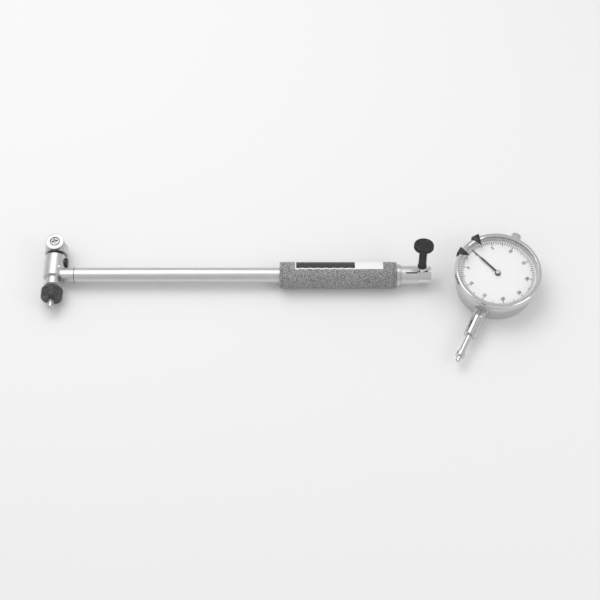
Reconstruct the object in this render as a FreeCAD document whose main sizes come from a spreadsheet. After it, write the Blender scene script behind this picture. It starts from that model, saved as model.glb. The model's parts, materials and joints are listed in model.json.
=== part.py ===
import FreeCAD, Part
import math
import os
import Sketcher

# Dial bore gauge: a long holder with a measuring head, and its dial indicator lying beside it, taken out.
# Lengths are in millimetres and angles in degrees.
#
# The origin is the centre of the indicator's flat back, on the surface that everything lies on.
# +Z is up, and +X runs along the holder's tube from the measuring head to the indicator clamp.
#
# Two working frames carry the pieces:
#   HOLDER  where the tube's axis (X) crosses the measuring axis (Y, from the anvil to the contact)
#   DIAL    centre of the indicator's back, with the stem pointing along -Y and the face along +Z

SIZES = {
    # measuring head, along the measuring axis
    "head_radius": 6.4,
    "head_front": 2.3,
    "head_back": 13.2,
    "nose_radius": 4.5,
    "nose_reach": 14.9,
    "edge_bevel": 0.4,
    "anvil_bore_radius": 2.5,
    "contact_shoulder": 7.0,
    # contact, crank and push rod
    "contact_radius": 2.0,
    "contact_collar_radius": 2.4,
    "contact_collar_length": 0.8,
    "contact_foot_radius": 0.7,
    "contact_proud": 0.5,
    "contact_taper_length": 0.8,
    "contact_tip_proud": 1.4,
    "contact_tip_radius": 1.2,
    "contact_tip_rounding": 0.95,
    "contact_tip_seat": 2.0,
    "contact_neck_radius": 1.6,
    "contact_travel": 1.2,
    "crank_arm": 3.6,
    "crank_arm_width": 0.9,
    "crank_ball_radius": 0.7,
    "crank_hub_radius": 1.15,
    "crank_thickness": 1.6,
    "crank_side_gap": 0.2,
    "crank_swing_room": 0.5,
    "crank_pin_radius": 0.6,
    "crank_pin_length": 10.4,
    "rod_radius": 1.2,
    "rod_collar_start": 95.0,
    "rod_collar_radius": 2.4,
    "rod_collar_length": 2.0,
    "rod_button_radius": 2.2,
    "rod_button_length": 1.6,
    "rod_button_lift": 0.8,
    "rod_preload": 1.0,
    "rod_spring_length": 13.0,
    "rod_spring_wire": 0.25,
    "rod_spring_turns": 5.0,
    "front_bush_radius": 2.2,
    "bush_length": 5.0,
    # centralizing bridge
    "bridge_radius": 7.2,
    "bridge_gap": 1.4,
    "bridge_body_length": 6.0,
    "bridge_cone_length": 4.6,
    "bridge_end_radius": 4.2,
    "bridge_half_width": 6.4,
    "bridge_travel": 1.2,
    "guide_pin_offset": 4.6,
    "guide_pin_radius": 0.9,
    "guide_pin_seat": 3.0,
    "guide_pin_length": 10.6,
    "guide_pin_end_gap": 0.4,
    "guide_pin_notch": 0.55,
    "bridge_spring_radius": 2.75,
    "bridge_spring_wire": 0.25,
    "bridge_spring_turns": 2.5,
    "spring_recess_radius": 3.15,
    "spring_recess_depth": 3.4,
    "spring_seat_depth": 1.0,
    "roller_radius": 5.75,
    "roller_face": 8.35,
    "roller_place": 5.5,
    "roller_bevel": 0.3,
    "roller_screw_head_radius": 3.0,
    "roller_screw_head_length": 0.85,
    "roller_screw_sink": 0.1,
    "roller_screw_radius": 1.5,
    "roller_thread_radius": 1.0,
    "roller_thread_length": 3.0,
    "recess_length": 2.8,
    "recess_width": 0.6,
    "recess_depth": 0.5,
    "stop_screw_place": 9.0,
    "stop_screw_head_radius": 3.0,
    "stop_screw_head_length": 2.0,
    "stop_screw_radius": 1.2,
    "stop_screw_seat": 5.9,
    # anvil and its nut
    "anvil_shank_length": 11.5,
    "anvil_groove_radius": 2.0,
    "anvil_groove_length": 1.0,
    "anvil_collar_radius": 3.6,
    "anvil_collar_length": 1.5,
    "anvil_rod_radius": 2.0,
    "anvil_rod_length": 7.6,
    "anvil_tip_rounding": 1.5,
    "nut_radius": 6.7,
    "nut_lap": 5.1,
    "nut_wall": 1.15,
    "nut_bevel": 1.0,
    # tube, grip and indicator clamp, along the tube
    "socket_radius": 4.6,
    "socket_end": 13.3,
    "socket_screw_radius": 3.2,
    "socket_screw_depth": 1.2,
    "spigot_length": 6.0,
    "tube_radius": 4.75,
    "tube_bore_radius": 3.6,
    "grip_start": 142.1,
    "grip_length": 73.2,
    "grip_radius": 8.35,
    "grip_step": 0.5,
    "grip_step_length": 1.2,
    "grip_ring_radius": 6.9,
    "grip_ring_length": 2.4,
    "collet_radius": 5.95,
    "collet_length": 10.5,
    "finger_radius": 4.7,
    "indicator_bore_depth": 14.0,
    "point_way_gap": 0.25,
    "slit_width": 0.8,
    "slit_length": 15.8,
    "slit_angle": 16.0,
    "clamp_ring_radius": 5.5,
    "clamp_ring_length": 7.3,
    "clamp_lip_radius": 5.8,
    "clamp_lip_length": 1.3,
    "clamp_lean": 18.0,
    "clamp_screw_place": 2.9,
    "clamp_boss_radius": 2.7,
    "clamp_boss_reach": 7.2,
    "clamp_thread_radius": 1.7,
    "clamp_neck_radius": 2.9,
    "clamp_waist_radius": 2.4,
    "clamp_neck_length": 15.0,
    "clamp_knob_radius": 6.15,
    "clamp_knob_length": 3.5,
    # indicator case, from its back upwards
    "cover_thickness": 1.6,
    "case_radius": 24.3,
    "case_wall": 1.5,
    "case_web_height": 11.8,
    "case_web_thickness": 1.2,
    "rim_face_gap": 0.4,
    "case_lug_radius": 2.4,
    "case_lug_inset": 2.1,
    "case_lug_angle": 30.0,
    "cover_screw_radius": 1.0,
    "cover_screw_head_radius": 2.0,
    "cover_screw_length": 5.0,
    "stem_height": 7.8,
    "stem_radius": 4.0,
    "stem_length": 18.2,
    "stem_boss_radius": 4.9,
    "boss_reach": 1.8,
    "stem_spigot_radius": 3.0,
    "cap_boss_radius": 4.4,
    "cap_radius": 3.4,
    "cap_bore_radius": 2.4,
    "cap_length": 10.2,
    "cap_wall": 0.7,
    "bezel_lock_angle": 42.0,
    "bezel_lock_height": 9.6,
    "bezel_lock_head_radius": 2.5,
    "bezel_lock_head_length": 3.0,
    "bezel_lock_radius": 1.2,
    "bezel_lock_gap": 1.6,
    # indicator spindle and its rack
    "spindle_radius": 2.0,
    "spindle_reach": 11.7,
    "cap_space": 0.35,
    "spindle_travel": 6.35,
    "rack_pitch": 0.635,
    "rack_depth": 0.55,
    "rack_pitch_line": 1.5,
    "rack_flat": 1.75,
    "rack_run_in": 3,
    "pressure_angle": 20.0,
    "point_collar_radius": 2.9,
    "point_collar_start": 1.2,
    "point_collar_length": 2.6,
    "point_neck_radius": 1.5,
    "point_reach": 7.9,
    "point_rounding": 1.35,
    "guide_pin_place": 5.0,
    "spindle_pin_radius": 0.8,
    # indicator movement
    "pinion_teeth": 20,
    "gear_teeth": 80,
    "centre_teeth": 8,
    "gear_radius": 10.0,
    "tooth_fill": 0.36,
    "gear_height": 10.2,
    "gear_thickness": 0.6,
    "gear_tooth_rise": 0.22,
    "gear_tooth_depth": 0.33,
    "arbor_radius": 0.5,
    "centre_arbor_radius": 0.6,
    "plate_inset": 6.0,
    "plate_thickness": 0.8,
    "rear_plate_height": 3.0,
    "pillar_radius": 1.3,
    "pillar_inset": 2.0,
    "pillar_angle": 133.0,
    # indicator face, bezel and pointer
    "face_height": 15.0,
    "face_thickness": 0.6,
    "face_hole_radius": 1.8,
    "bezel_wall": 2.7,
    "bezel_bottom": 13.1,
    "bezel_top": 20.6,
    "bezel_bevel": 0.9,
    "bezel_crown": 2.0,
    "bezel_crown_width": 1.1,
    "bezel_lip_overlap": 0.9,
    "bezel_lip_thickness": 0.9,
    "crystal_ledge": 0.6,
    "crystal_thickness": 1.2,
    "needle_tip_gap": 1.7,
    "needle_broad_length": 12.0,
    "needle_broad_width": 0.9,
    "needle_width": 0.4,
    "needle_hub_radius": 1.6,
    "needle_hub_height": 0.9,
    "needle_height": 16.5,
    "needle_thickness": 0.3,
    "needle_angle": 157.5,
    "marker_reach": 7.0,
    "marker_half_width": 2.8,
    "marker_shoulder_inset": 1.5,
    "marker_shoulder_half_width": 2.2,
    "marker_thickness": 0.6,
    "marker_leg": 5.0,
    "marker_first_angle": 142.5,
    "marker_second_angle": 177.5,
    # clearances
    "running_fit": 0.05,
    "free_gap": 0.1,
    "cutter_overshoot": 1.0,
    # where the indicator lies beside the holder
    "dial_beyond_clamp": 41.1,
    "dial_forward": 2.9,
    "dial_turn": 26.0,
}


class Size:
    """A number together with the formula by which the document works it out from the sheet."""

    def __init__(self, value, formula):
        self.value = float(value)
        self.formula = formula

    def __float__(self):
        return self.value

    def __add__(self, other):
        other = sized(other)
        return Size(self.value + other.value, f"({self.formula} + {other.formula})")

    def __sub__(self, other):
        other = sized(other)
        return Size(self.value - other.value, f"({self.formula} - {other.formula})")

    def __mul__(self, other):
        other = sized(other)
        return Size(self.value * other.value, f"({self.formula} * {other.formula})")

    def __truediv__(self, other):
        other = sized(other)
        return Size(self.value / other.value, f"({self.formula} / {other.formula})")

    def __neg__(self):
        return Size(-self.value, f"(0 - {self.formula})")

    def __radd__(self, other):
        return sized(other) + self

    def __rsub__(self, other):
        return sized(other) - self

    def __rmul__(self, other):
        return sized(other) * self


def sized(number):
    """The number as a Size, so that plain numbers can stand in formulas."""
    return number if isinstance(number, Size) else Size(number, repr(float(number)))


class Dimensions:
    """The driving dimensions, one attribute for each row of the sheet."""

    def __init__(self, sheet, values):
        for row, (name, value) in enumerate(values.items(), start=1):
            sheet.set(f"A{row}", name)
            sheet.set(f"B{row}", str(value))
            sheet.setAlias(f"B{row}", name)
            setattr(self, name, Size(value, f"{sheet.Name}.{name}"))


doc = FreeCAD.newDocument("DialBoreGauge")
sheet = doc.addObject("Spreadsheet::Sheet", "Sizes")
d = Dimensions(sheet, SIZES)
doc.recompute()

X = FreeCAD.Vector(1, 0, 0)
Y = FreeCAD.Vector(0, 1, 0)
Z = FreeCAD.Vector(0, 0, 1)
nodes = []


# ---------------------------------------------------------------- ways of making a piece

def vector(x, y, z):
    return FreeCAD.Vector(float(x), float(y), float(z))


def along(direction, spin=0.0):
    """Rotation that lays a piece's own Z axis along a direction, after a spin about that axis."""
    tilt = FreeCAD.Rotation(Z, direction)
    return tilt.multiply(FreeCAD.Rotation(Z, float(spin)))


def bind(feature, prop, size):
    feature.setExpression(prop, sized(size).formula)


def origin_part(body, role):
    """One of the body's own origin planes or axes."""
    return next(item for item in body.Origin.OriginFeatures if item.Role == role)


def outline(body, name, role, corners):
    """Closed sketch through (across, up) corners, each held by two dimensions from the origin."""
    sketch = body.newObject("Sketcher::SketchObject", name)
    sketch.AttachmentSupport = (origin_part(body, role), [""])
    sketch.MapMode = "FlatFace"
    corners = [(sized(across), sized(up)) for across, up in corners]
    points = [vector(across, up, 0) for across, up in corners]
    count = len(points)
    for index in range(count):
        sketch.addGeometry(Part.LineSegment(points[index], points[(index + 1) % count]))
    for index in range(count):
        sketch.addConstraint(Sketcher.Constraint("Coincident", index, 2, (index + 1) % count, 1))
    for index, (across, up) in enumerate(corners):
        for kind, size in (("DistanceX", across), ("DistanceY", up)):
            number = sketch.addConstraint(Sketcher.Constraint(kind, -1, 1, index, 1, size.value))
            sketch.setExpression(f"Constraints[{number}]", size.formula)
    return sketch


def ring_sketch(body, name, role, across, up, radius):
    """Circle held by its centre and radius."""
    sketch = body.newObject("Sketcher::SketchObject", name)
    sketch.AttachmentSupport = (origin_part(body, role), [""])
    sketch.MapMode = "FlatFace"
    sketch.addGeometry(Part.Circle(vector(across, up, 0), Z, float(radius)))
    for kind, size in (("DistanceX", sized(across)), ("DistanceY", sized(up))):
        number = sketch.addConstraint(Sketcher.Constraint(kind, -1, 1, 0, 3, size.value))
        sketch.setExpression(f"Constraints[{number}]", size.formula)
    number = sketch.addConstraint(Sketcher.Constraint("Radius", 0, float(radius)))
    sketch.setExpression(f"Constraints[{number}]", sized(radius).formula)
    return sketch


def turned(name, corners):
    """Body turned about its own Z axis from (radius, height) corners."""
    body = doc.addObject("PartDesign::Body", name)
    profile = outline(body, name + "_profile", "XZ_Plane", corners)
    revolution = body.newObject("PartDesign::Revolution", name + "_turned")
    revolution.Profile = profile
    revolution.ReferenceAxis = (profile, ["V_Axis"])
    revolution.Angle = 360
    profile.Visibility = False
    doc.recompute()
    return body


def prism(name, corners, thickness):
    """Body padded upwards from (x, y) corners."""
    body = doc.addObject("PartDesign::Body", name)
    pad = body.newObject("PartDesign::Pad", name + "_pad")
    pad.Profile = outline(body, name + "_outline", "XY_Plane", corners)
    bind(pad, "Length", thickness)
    doc.recompute()
    return body


def spring(name, mean_radius, wire_radius, length, turns):
    """Helical spring about its own Z axis, with its wire's centre from 0 to the length."""
    body = doc.addObject("PartDesign::Body", name)
    section = ring_sketch(body, name + "_wire", "XZ_Plane", mean_radius, 0, wire_radius)
    helix = body.newObject("PartDesign::AdditiveHelix", name + "_coil")
    helix.Profile = section
    helix.ReferenceAxis = (section, ["V_Axis"])
    helix.Mode = 1
    bind(helix, "Height", length)
    bind(helix, "Turns", turns)
    helix.Pitch = float(length) / float(turns)
    doc.recompute()
    return body


def rim_edges(body, radius, height):
    """Names of the body's circular edges about its own axis at a radius and height."""
    found = []
    for number, edge in enumerate(body.Tip.Shape.Edges, start=1):
        curve = edge.Curve
        if not isinstance(curve, Part.Circle):
            continue
        level = abs(curve.Center.z - float(height)) < 1e-5
        if level and abs(curve.Radius - float(radius)) < 1e-5:
            found.append(f"Edge{number}")
    return found


def eased(body, kind, size, rims):
    """Fillet or chamfer on circular edges given as (radius, height)."""
    base = body.Tip
    edges = [edge for radius, height in rims for edge in rim_edges(body, radius, height)]
    feature = body.newObject("PartDesign::" + kind, f"{body.Name}_{kind.lower()}")
    feature.Base = (base, edges)
    bind(feature, "Radius" if kind == "Fillet" else "Size", size)
    doc.recompute()
    return body


def cylinder(name, radius, length, start=(), direction=Z):
    piece = doc.addObject("Part::Cylinder", name)
    bind(piece, "Radius", radius)
    bind(piece, "Height", length)
    piece.Placement = FreeCAD.Placement(FreeCAD.Vector(), along(direction))
    move(piece, start)
    return piece


def cone(name, radius, far_radius, length, start=(), direction=Z):
    piece = doc.addObject("Part::Cone", name)
    bind(piece, "Radius1", radius)
    bind(piece, "Radius2", far_radius)
    bind(piece, "Height", length)
    piece.Placement = FreeCAD.Placement(FreeCAD.Vector(), along(direction))
    move(piece, start)
    return piece


def box(name, length, width, height, start=()):
    piece = doc.addObject("Part::Box", name)
    bind(piece, "Length", length)
    bind(piece, "Width", width)
    bind(piece, "Height", height)
    move(piece, start)
    return piece


def move(piece, start):
    """Bind a primitive's place to (x, y, z); without one it stays free to be placed as a node."""
    for axis, size in zip("xyz", start):
        bind(piece, f"Placement.Base.{axis}", size)


def joined(name, pieces):
    result = doc.addObject("Part::MultiFuse", name)
    result.Shapes = pieces
    doc.recompute()
    return result


def cut(name, base, tools):
    result = doc.addObject("Part::Cut", name)
    result.Base = base
    result.Tool = tools[0] if len(tools) == 1 else joined(name + "_cutters", tools)
    doc.recompute()
    return result


def group(name, pieces):
    """Identical separate solids that share one node."""
    result = doc.addObject("Part::Compound", name)
    result.Links = pieces
    doc.recompute()
    return result


def node(label, piece, frame, start=(0, 0, 0), rotation=FreeCAD.Rotation()):
    """Name a finished piece and put it in its place in a working frame."""
    piece.Label = label
    piece.Placement = frame.multiply(FreeCAD.Placement(vector(*start), rotation))
    nodes.append(piece)


# ---------------------------------------------------------------- places that several pieces share

tube_end = d.grip_start + d.grip_length + d.grip_ring_length
collet_end = tube_end + d.collet_length
holder_end = collet_end + d.clamp_ring_length + d.clamp_lip_length
indicator_bore_radius = d.stem_radius
point_way_radius = d.point_collar_radius + d.point_way_gap
rod_end = holder_end - d.indicator_bore_depth - d.spindle_reach - d.point_reach + d.rod_preload
anvil_seat = d.nose_reach
anvil_collar_end = anvil_seat + d.anvil_collar_length
nut_start = d.nose_reach - d.nut_lap
nut_length = anvil_collar_end + d.running_fit + d.nut_wall - nut_start
bridge_base = d.head_back + d.bridge_gap
roller_reach = bridge_base + d.roller_place
contact_reach = bridge_base + d.bridge_body_length + d.bridge_cone_length + d.contact_proud
notch_floor = d.guide_pin_offset + d.guide_pin_radius - d.guide_pin_notch
contact_foot = d.crank_arm + d.crank_ball_radius + d.running_fit
rod_foot = contact_foot

case_inside = d.case_radius - d.case_wall
lug_place = case_inside - d.case_lug_inset
boss_end = d.case_radius + d.boss_reach
stem_end = boss_end + d.stem_length
spindle_bottom = stem_end + d.spindle_reach
cap_end = boss_end + d.cap_length
spindle_top = cap_end - d.cap_wall - d.cap_space - d.spindle_travel
face_radius = d.case_radius - d.free_gap
crystal_radius = d.case_radius + d.crystal_ledge
lip_radius = crystal_radius - d.bezel_lip_overlap
bezel_radius = d.case_radius + d.free_gap + d.bezel_wall
needle_length = lip_radius - d.needle_tip_gap
plate_radius = case_inside - d.plate_inset
pillar_place = plate_radius - d.pillar_inset
rim_top = d.face_height - d.rim_face_gap
pinion_radius = d.pinion_teeth * d.rack_pitch / (2 * math.pi)
centre_radius = d.gear_radius * d.centre_teeth / d.gear_teeth
gear_distance = d.gear_radius + centre_radius
gear_across = d.rack_pitch_line + pinion_radius
gear_along = math.sqrt(float(gear_distance) ** 2 - float(gear_across) ** 2)
gear_bearing = math.degrees(math.atan2(gear_along, float(gear_across)))
front_plate_height = d.case_web_height - d.plate_thickness
tooth_slope = math.tan(math.radians(float(d.pressure_angle)))
crystal_height = d.bezel_top - d.bezel_lip_thickness - d.crystal_thickness

rest_height = max(float(d.grip_radius), float(d.roller_face))
HOLDER = FreeCAD.Placement(
    vector(-(holder_end + d.dial_beyond_clamp), d.dial_forward, rest_height), FreeCAD.Rotation())
DIAL = FreeCAD.Placement(FreeCAD.Vector(), FreeCAD.Rotation(Z, -float(d.dial_turn)))

ALONG_TUBE = along(X)
TOWARDS_CONTACT = FreeCAD.Rotation(X, -90)
TOWARDS_ANVIL = FreeCAD.Rotation(X, 90)


# ---------------------------------------------------------------- measuring head

def head_body():
    """Turned cross cylinder with the anvil's nose, cut out for the crank, the pins and the tube."""
    shoulder = d.nose_reach - d.head_front
    back = d.nose_reach + d.head_back
    turned_head = turned("head_turned", [
        (d.anvil_bore_radius, 0),
        (d.nose_radius, 0),
        (d.nose_radius, shoulder),
        (d.head_radius, shoulder),
        (d.head_radius, back),
        (d.spring_recess_radius, back),
        (d.spring_recess_radius, back - d.spring_recess_depth),
        (d.contact_radius + d.running_fit, back - d.spring_recess_depth),
        (d.contact_radius + d.running_fit, d.nose_reach + d.contact_shoulder),
        (d.anvil_bore_radius, d.nose_reach + d.contact_shoulder),
    ])
    eased(turned_head, "Chamfer", d.edge_bevel, [(d.head_radius, shoulder), (d.head_radius, back)])
    turned_head.Placement = FreeCAD.Placement(vector(0, -d.nose_reach, 0), TOWARDS_CONTACT)
    slot_width = d.crank_thickness + 2 * d.crank_side_gap
    slot_low = d.crank_ball_radius + d.crank_swing_room
    slot_length = slot_low + d.crank_arm + d.crank_hub_radius + d.crank_side_gap
    crank_slot = box("crank_slot", slot_length, slot_length, slot_width,
                     (-slot_low, -slot_low, -slot_width / 2))
    rod_way = cylinder("rod_way", d.front_bush_radius, d.head_radius - d.crank_arm, (d.crank_arm, 0, 0), X)
    socket_hole = cylinder("socket_hole", d.socket_screw_radius, d.head_radius,
                           (d.head_radius - d.socket_screw_depth, 0, 0), X)
    pin_hole = cylinder("crank_pin_hole", d.crank_pin_radius, 2 * d.head_radius,
                        (d.crank_arm, d.crank_arm, -d.head_radius))
    pin_hole_depth = d.guide_pin_length - d.guide_pin_seat - d.bridge_gap + d.bridge_travel
    pin_hole_depth = pin_hole_depth + d.guide_pin_end_gap
    guide_holes = [
        cylinder(f"guide_hole_{side}", d.guide_pin_radius + d.running_fit, pin_hole_depth,
                 (place, d.head_back - pin_hole_depth, 0), Y)
        for side, place in (("left", -d.guide_pin_offset), ("right", d.guide_pin_offset))]
    stop_hole = cylinder("stop_screw_hole", d.stop_screw_radius, d.head_radius - d.guide_pin_offset,
                         (d.guide_pin_offset, d.stop_screw_place, 0), X)
    stop_face = cylinder("stop_screw_face", d.stop_screw_head_radius + d.free_gap, d.head_radius,
                         (d.stop_screw_seat, d.stop_screw_place, 0), X)
    head = cut("head_body", turned_head,
               [crank_slot, rod_way, socket_hole, pin_hole, stop_hole, stop_face] + guide_holes)
    node("head_body", head, HOLDER)


def contact():
    """Sliding contact with a narrow foot, a collar that stops it in the head, and its hard tip."""
    collar_top = d.contact_shoulder - d.running_fit - contact_foot
    collar_low = collar_top - d.contact_collar_length
    top = contact_reach - contact_foot
    tip_seat = top - d.contact_tip_seat
    neck_start = tip_seat - d.contact_taper_length
    rod = turned("contact_turned", [
        (0, 0),
        (d.contact_foot_radius, 0),
        (d.contact_foot_radius, collar_low),
        (d.contact_collar_radius, collar_low),
        (d.contact_collar_radius, collar_top),
        (d.contact_radius, collar_top),
        (d.contact_radius, neck_start),
        (d.contact_neck_radius, top),
        (d.contact_tip_radius, top),
        (d.contact_tip_radius, tip_seat),
        (0, tip_seat),
    ])
    node("contact", rod, HOLDER, (0, contact_foot, 0), TOWARDS_CONTACT)
    tip_length = d.contact_tip_proud + d.contact_tip_seat
    tip = turned("contact_tip_turned", [
        (0, 0),
        (d.contact_tip_radius, 0),
        (d.contact_tip_radius, tip_length),
        (0, tip_length),
    ])
    eased(tip, "Fillet", d.contact_tip_rounding, [(d.contact_tip_radius, tip_length)])
    node("contact_tip", tip, HOLDER, (0, contact_reach - d.contact_tip_seat, 0), TOWARDS_CONTACT)


def crank():
    """Right-angled crank that turns the contact's movement into the push rod's, and its pin."""
    low = -d.crank_thickness / 2
    hub = cylinder("crank_hub", d.crank_hub_radius, d.crank_thickness,
                   (d.crank_arm, d.crank_arm, low))
    contact_ball = cylinder("crank_contact_end", d.crank_ball_radius, d.crank_thickness,
                            (0, d.crank_arm, low))
    rod_ball = cylinder("crank_rod_end", d.crank_ball_radius, d.crank_thickness,
                        (d.crank_arm, 0, low))
    contact_arm = box("crank_contact_arm", d.crank_arm, d.crank_arm_width, d.crank_thickness,
                      (0, d.crank_arm - d.crank_arm_width / 2, low))
    rod_arm = box("crank_rod_arm", d.crank_arm_width, d.crank_arm, d.crank_thickness,
                  (d.crank_arm - d.crank_arm_width / 2, 0, low))
    blank = joined("crank_blank", [hub, contact_ball, rod_ball, contact_arm, rod_arm])
    eye = cylinder("crank_eye", d.crank_pin_radius + d.running_fit, d.crank_thickness,
                   (d.crank_arm, d.crank_arm, low))
    node("crank", cut("crank", blank, [eye]), HOLDER)
    pin = cylinder("crank_pin", d.crank_pin_radius, d.crank_pin_length)
    node("crank_pin", pin, HOLDER, (d.crank_arm, d.crank_arm, -d.crank_pin_length / 2))


def anvil():
    """Interchangeable anvil, held against the nose by its collar."""
    shank = d.anvil_shank_length
    seat = shank
    collar_end = seat + d.anvil_collar_length
    tip = collar_end + d.anvil_rod_length
    rod = turned("anvil_turned", [
        (0, 0),
        (d.anvil_bore_radius, 0),
        (d.anvil_bore_radius, seat - d.anvil_groove_length),
        (d.anvil_groove_radius, seat - d.anvil_groove_length),
        (d.anvil_groove_radius, seat),
        (d.anvil_collar_radius, seat),
        (d.anvil_collar_radius, collar_end),
        (d.anvil_rod_radius, collar_end),
        (d.anvil_rod_radius, tip),
        (0, tip),
    ])
    eased(rod, "Fillet", d.anvil_tip_rounding, [(d.anvil_rod_radius, tip)])
    node("anvil", rod, HOLDER, (0, shank - anvil_seat, 0), TOWARDS_ANVIL)


def lock_nut():
    """Nut on the nose, with an end wall that holds the anvil's collar."""
    inside = d.nose_radius + d.running_fit
    wall_start = nut_length - d.nut_wall
    nut = turned("nut_turned", [
        (inside, 0),
        (d.nut_radius, 0),
        (d.nut_radius, nut_length),
        (d.anvil_rod_radius + d.free_gap, nut_length),
        (d.anvil_rod_radius + d.free_gap, wall_start),
        (inside, wall_start),
    ])
    eased(nut, "Chamfer", d.nut_bevel, [(d.nut_radius, 0), (d.nut_radius, nut_length)])
    node("lock_nut", nut, HOLDER, (0, -nut_start, 0), TOWARDS_ANVIL)


# ---------------------------------------------------------------- centralizing bridge

def bridge():
    """Round sliding bridge, coned to its tip and flattened on both sides for the rollers."""
    body_end = d.bridge_body_length
    tip = body_end + d.bridge_cone_length
    bore = d.contact_radius + d.free_gap
    blank = turned("bridge_turned", [
        (d.spring_recess_radius, 0),
        (d.bridge_radius, 0),
        (d.bridge_radius, body_end),
        (d.bridge_end_radius, tip),
        (bore, tip),
        (bore, d.spring_seat_depth),
        (d.spring_recess_radius, d.spring_seat_depth),
    ])
    eased(blank, "Chamfer", d.edge_bevel, [(d.bridge_radius, 0)])
    blank.Placement = FreeCAD.Placement(vector(0, bridge_base, 0), TOWARDS_CONTACT)
    length = tip + 2 * d.cutter_overshoot
    flats = [
        box(f"bridge_flat_{side}", 2 * d.bridge_radius, length, d.bridge_radius,
            (-d.bridge_radius, bridge_base - d.cutter_overshoot, low))
        for side, low in (("upper", d.bridge_half_width), ("lower", -d.bridge_half_width - d.bridge_radius))]
    axle_hole = cylinder("bridge_axle_hole", d.roller_thread_radius, 2 * d.bridge_half_width,
                         (0, roller_reach, -d.bridge_half_width))
    bore_plug = cylinder("bridge_bore_again", bore, length, (0, bridge_base, 0), Y)
    pin_holes = [
        cylinder(f"bridge_pin_hole_{side}", d.guide_pin_radius, d.guide_pin_seat, (place, bridge_base, 0), Y)
        for side, place in (("left", -d.guide_pin_offset), ("right", d.guide_pin_offset))]
    finished = cut("bridge", blank, flats + [axle_hole, bore_plug] + pin_holes)
    node("bridge", finished, HOLDER)


def bridge_pins():
    """Two pins that guide the bridge in the head; the stop screw runs in a notch in the right one."""
    foot = bridge_base + d.guide_pin_seat - d.guide_pin_length
    left = cylinder("bridge_pin_left", d.guide_pin_radius, d.guide_pin_length)
    node("bridge_pin_left", left, HOLDER, (-d.guide_pin_offset, foot, 0), TOWARDS_CONTACT)
    blank = cylinder("bridge_pin_blank", d.guide_pin_radius, d.guide_pin_length,
                     (d.guide_pin_offset, foot, 0), Y)
    notch_start = d.stop_screw_place - d.stop_screw_radius - d.running_fit
    notch_length = 2 * (d.stop_screw_radius + d.running_fit) + d.bridge_travel + d.free_gap
    notch = box("bridge_pin_notch", d.guide_pin_radius, notch_length, 2 * d.guide_pin_radius,
                (notch_floor, notch_start, -d.guide_pin_radius))
    node("bridge_pin_right", cut("bridge_pin_right", blank, [notch]), HOLDER)


def bridge_spring():
    """Spring around the contact, from the head's recess to the bridge's."""
    start = d.head_back - d.spring_recess_depth + d.bridge_spring_wire
    length = bridge_base + d.spring_seat_depth - start - d.bridge_spring_wire
    coil = spring("bridge_spring", d.bridge_spring_radius, d.bridge_spring_wire, length,
                  d.bridge_spring_turns)
    node("bridge_spring", coil, HOLDER, (0, start, 0), TOWARDS_CONTACT)


def rollers():
    """A roller and its axle screw on each side of the bridge."""
    inner_face = d.bridge_half_width + d.free_gap
    thickness = d.roller_face - inner_face
    head_top = d.roller_face - d.roller_screw_sink
    head_under = head_top - d.roller_screw_head_length
    recess_floor = head_under - d.running_fit - inner_face
    screw_foot = d.bridge_half_width - d.roller_thread_length
    for side, rotation in (("upper", FreeCAD.Rotation()), ("lower", FreeCAD.Rotation(Y, 180))):
        sign = 1 if side == "upper" else -1
        roller = turned(f"roller_{side}_turned", [
            (d.roller_screw_radius + d.running_fit, 0),
            (d.roller_radius, 0),
            (d.roller_radius, thickness),
            (d.roller_screw_head_radius + d.free_gap, thickness),
            (d.roller_screw_head_radius + d.free_gap, recess_floor),
            (d.roller_screw_radius + d.running_fit, recess_floor),
        ])
        eased(roller, "Chamfer", d.roller_bevel, [(d.roller_radius, 0), (d.roller_radius, thickness)])
        node(f"roller_{side}", roller, HOLDER, (0, roller_reach, sign * inner_face), rotation)

        shank = turned(f"roller_screw_{side}_turned", [
            (0, 0),
            (d.roller_thread_radius, 0),
            (d.roller_thread_radius, d.roller_thread_length),
            (d.roller_screw_radius, d.roller_thread_length),
            (d.roller_screw_radius, head_under - screw_foot),
            (d.roller_screw_head_radius, head_under - screw_foot),
            (d.roller_screw_head_radius, head_top - screw_foot),
            (0, head_top - screw_foot),
        ])
        floor = head_top - screw_foot - d.recess_depth
        cross = [
            box(f"cross_{side}_x", d.recess_length, d.recess_width, d.recess_depth,
                (-d.recess_length / 2, -d.recess_width / 2, floor)),
            box(f"cross_{side}_y", d.recess_width, d.recess_length, d.recess_depth,
                (-d.recess_width / 2, -d.recess_length / 2, floor))]
        screw = cut(f"roller_screw_{side}", shank, cross)
        node(f"roller_screw_{side}", screw, HOLDER, (0, roller_reach, sign * screw_foot), rotation)


def stop_screw():
    """Screw in the head's flank whose tip stops the bridge's right guide pin."""
    tip = notch_floor + d.running_fit
    shank_length = d.stop_screw_seat - tip
    total = shank_length + d.stop_screw_head_length
    blank = turned("stop_screw_turned", [
        (0, 0),
        (d.stop_screw_radius, 0),
        (d.stop_screw_radius, shank_length),
        (d.stop_screw_head_radius, shank_length),
        (d.stop_screw_head_radius, total),
        (0, total),
    ])
    eased(blank, "Chamfer", d.edge_bevel, [(d.stop_screw_head_radius, total)])
    slot = box("stop_screw_slot", 2 * d.stop_screw_head_radius, d.recess_width, d.recess_depth,
               (-d.stop_screw_head_radius, -d.recess_width / 2, total - d.recess_depth))
    node("stop_screw", cut("stop_screw", blank, [slot]), HOLDER, (tip, d.stop_screw_place, 0), ALONG_TUBE)


# ---------------------------------------------------------------- tube, grip and push rod

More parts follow.
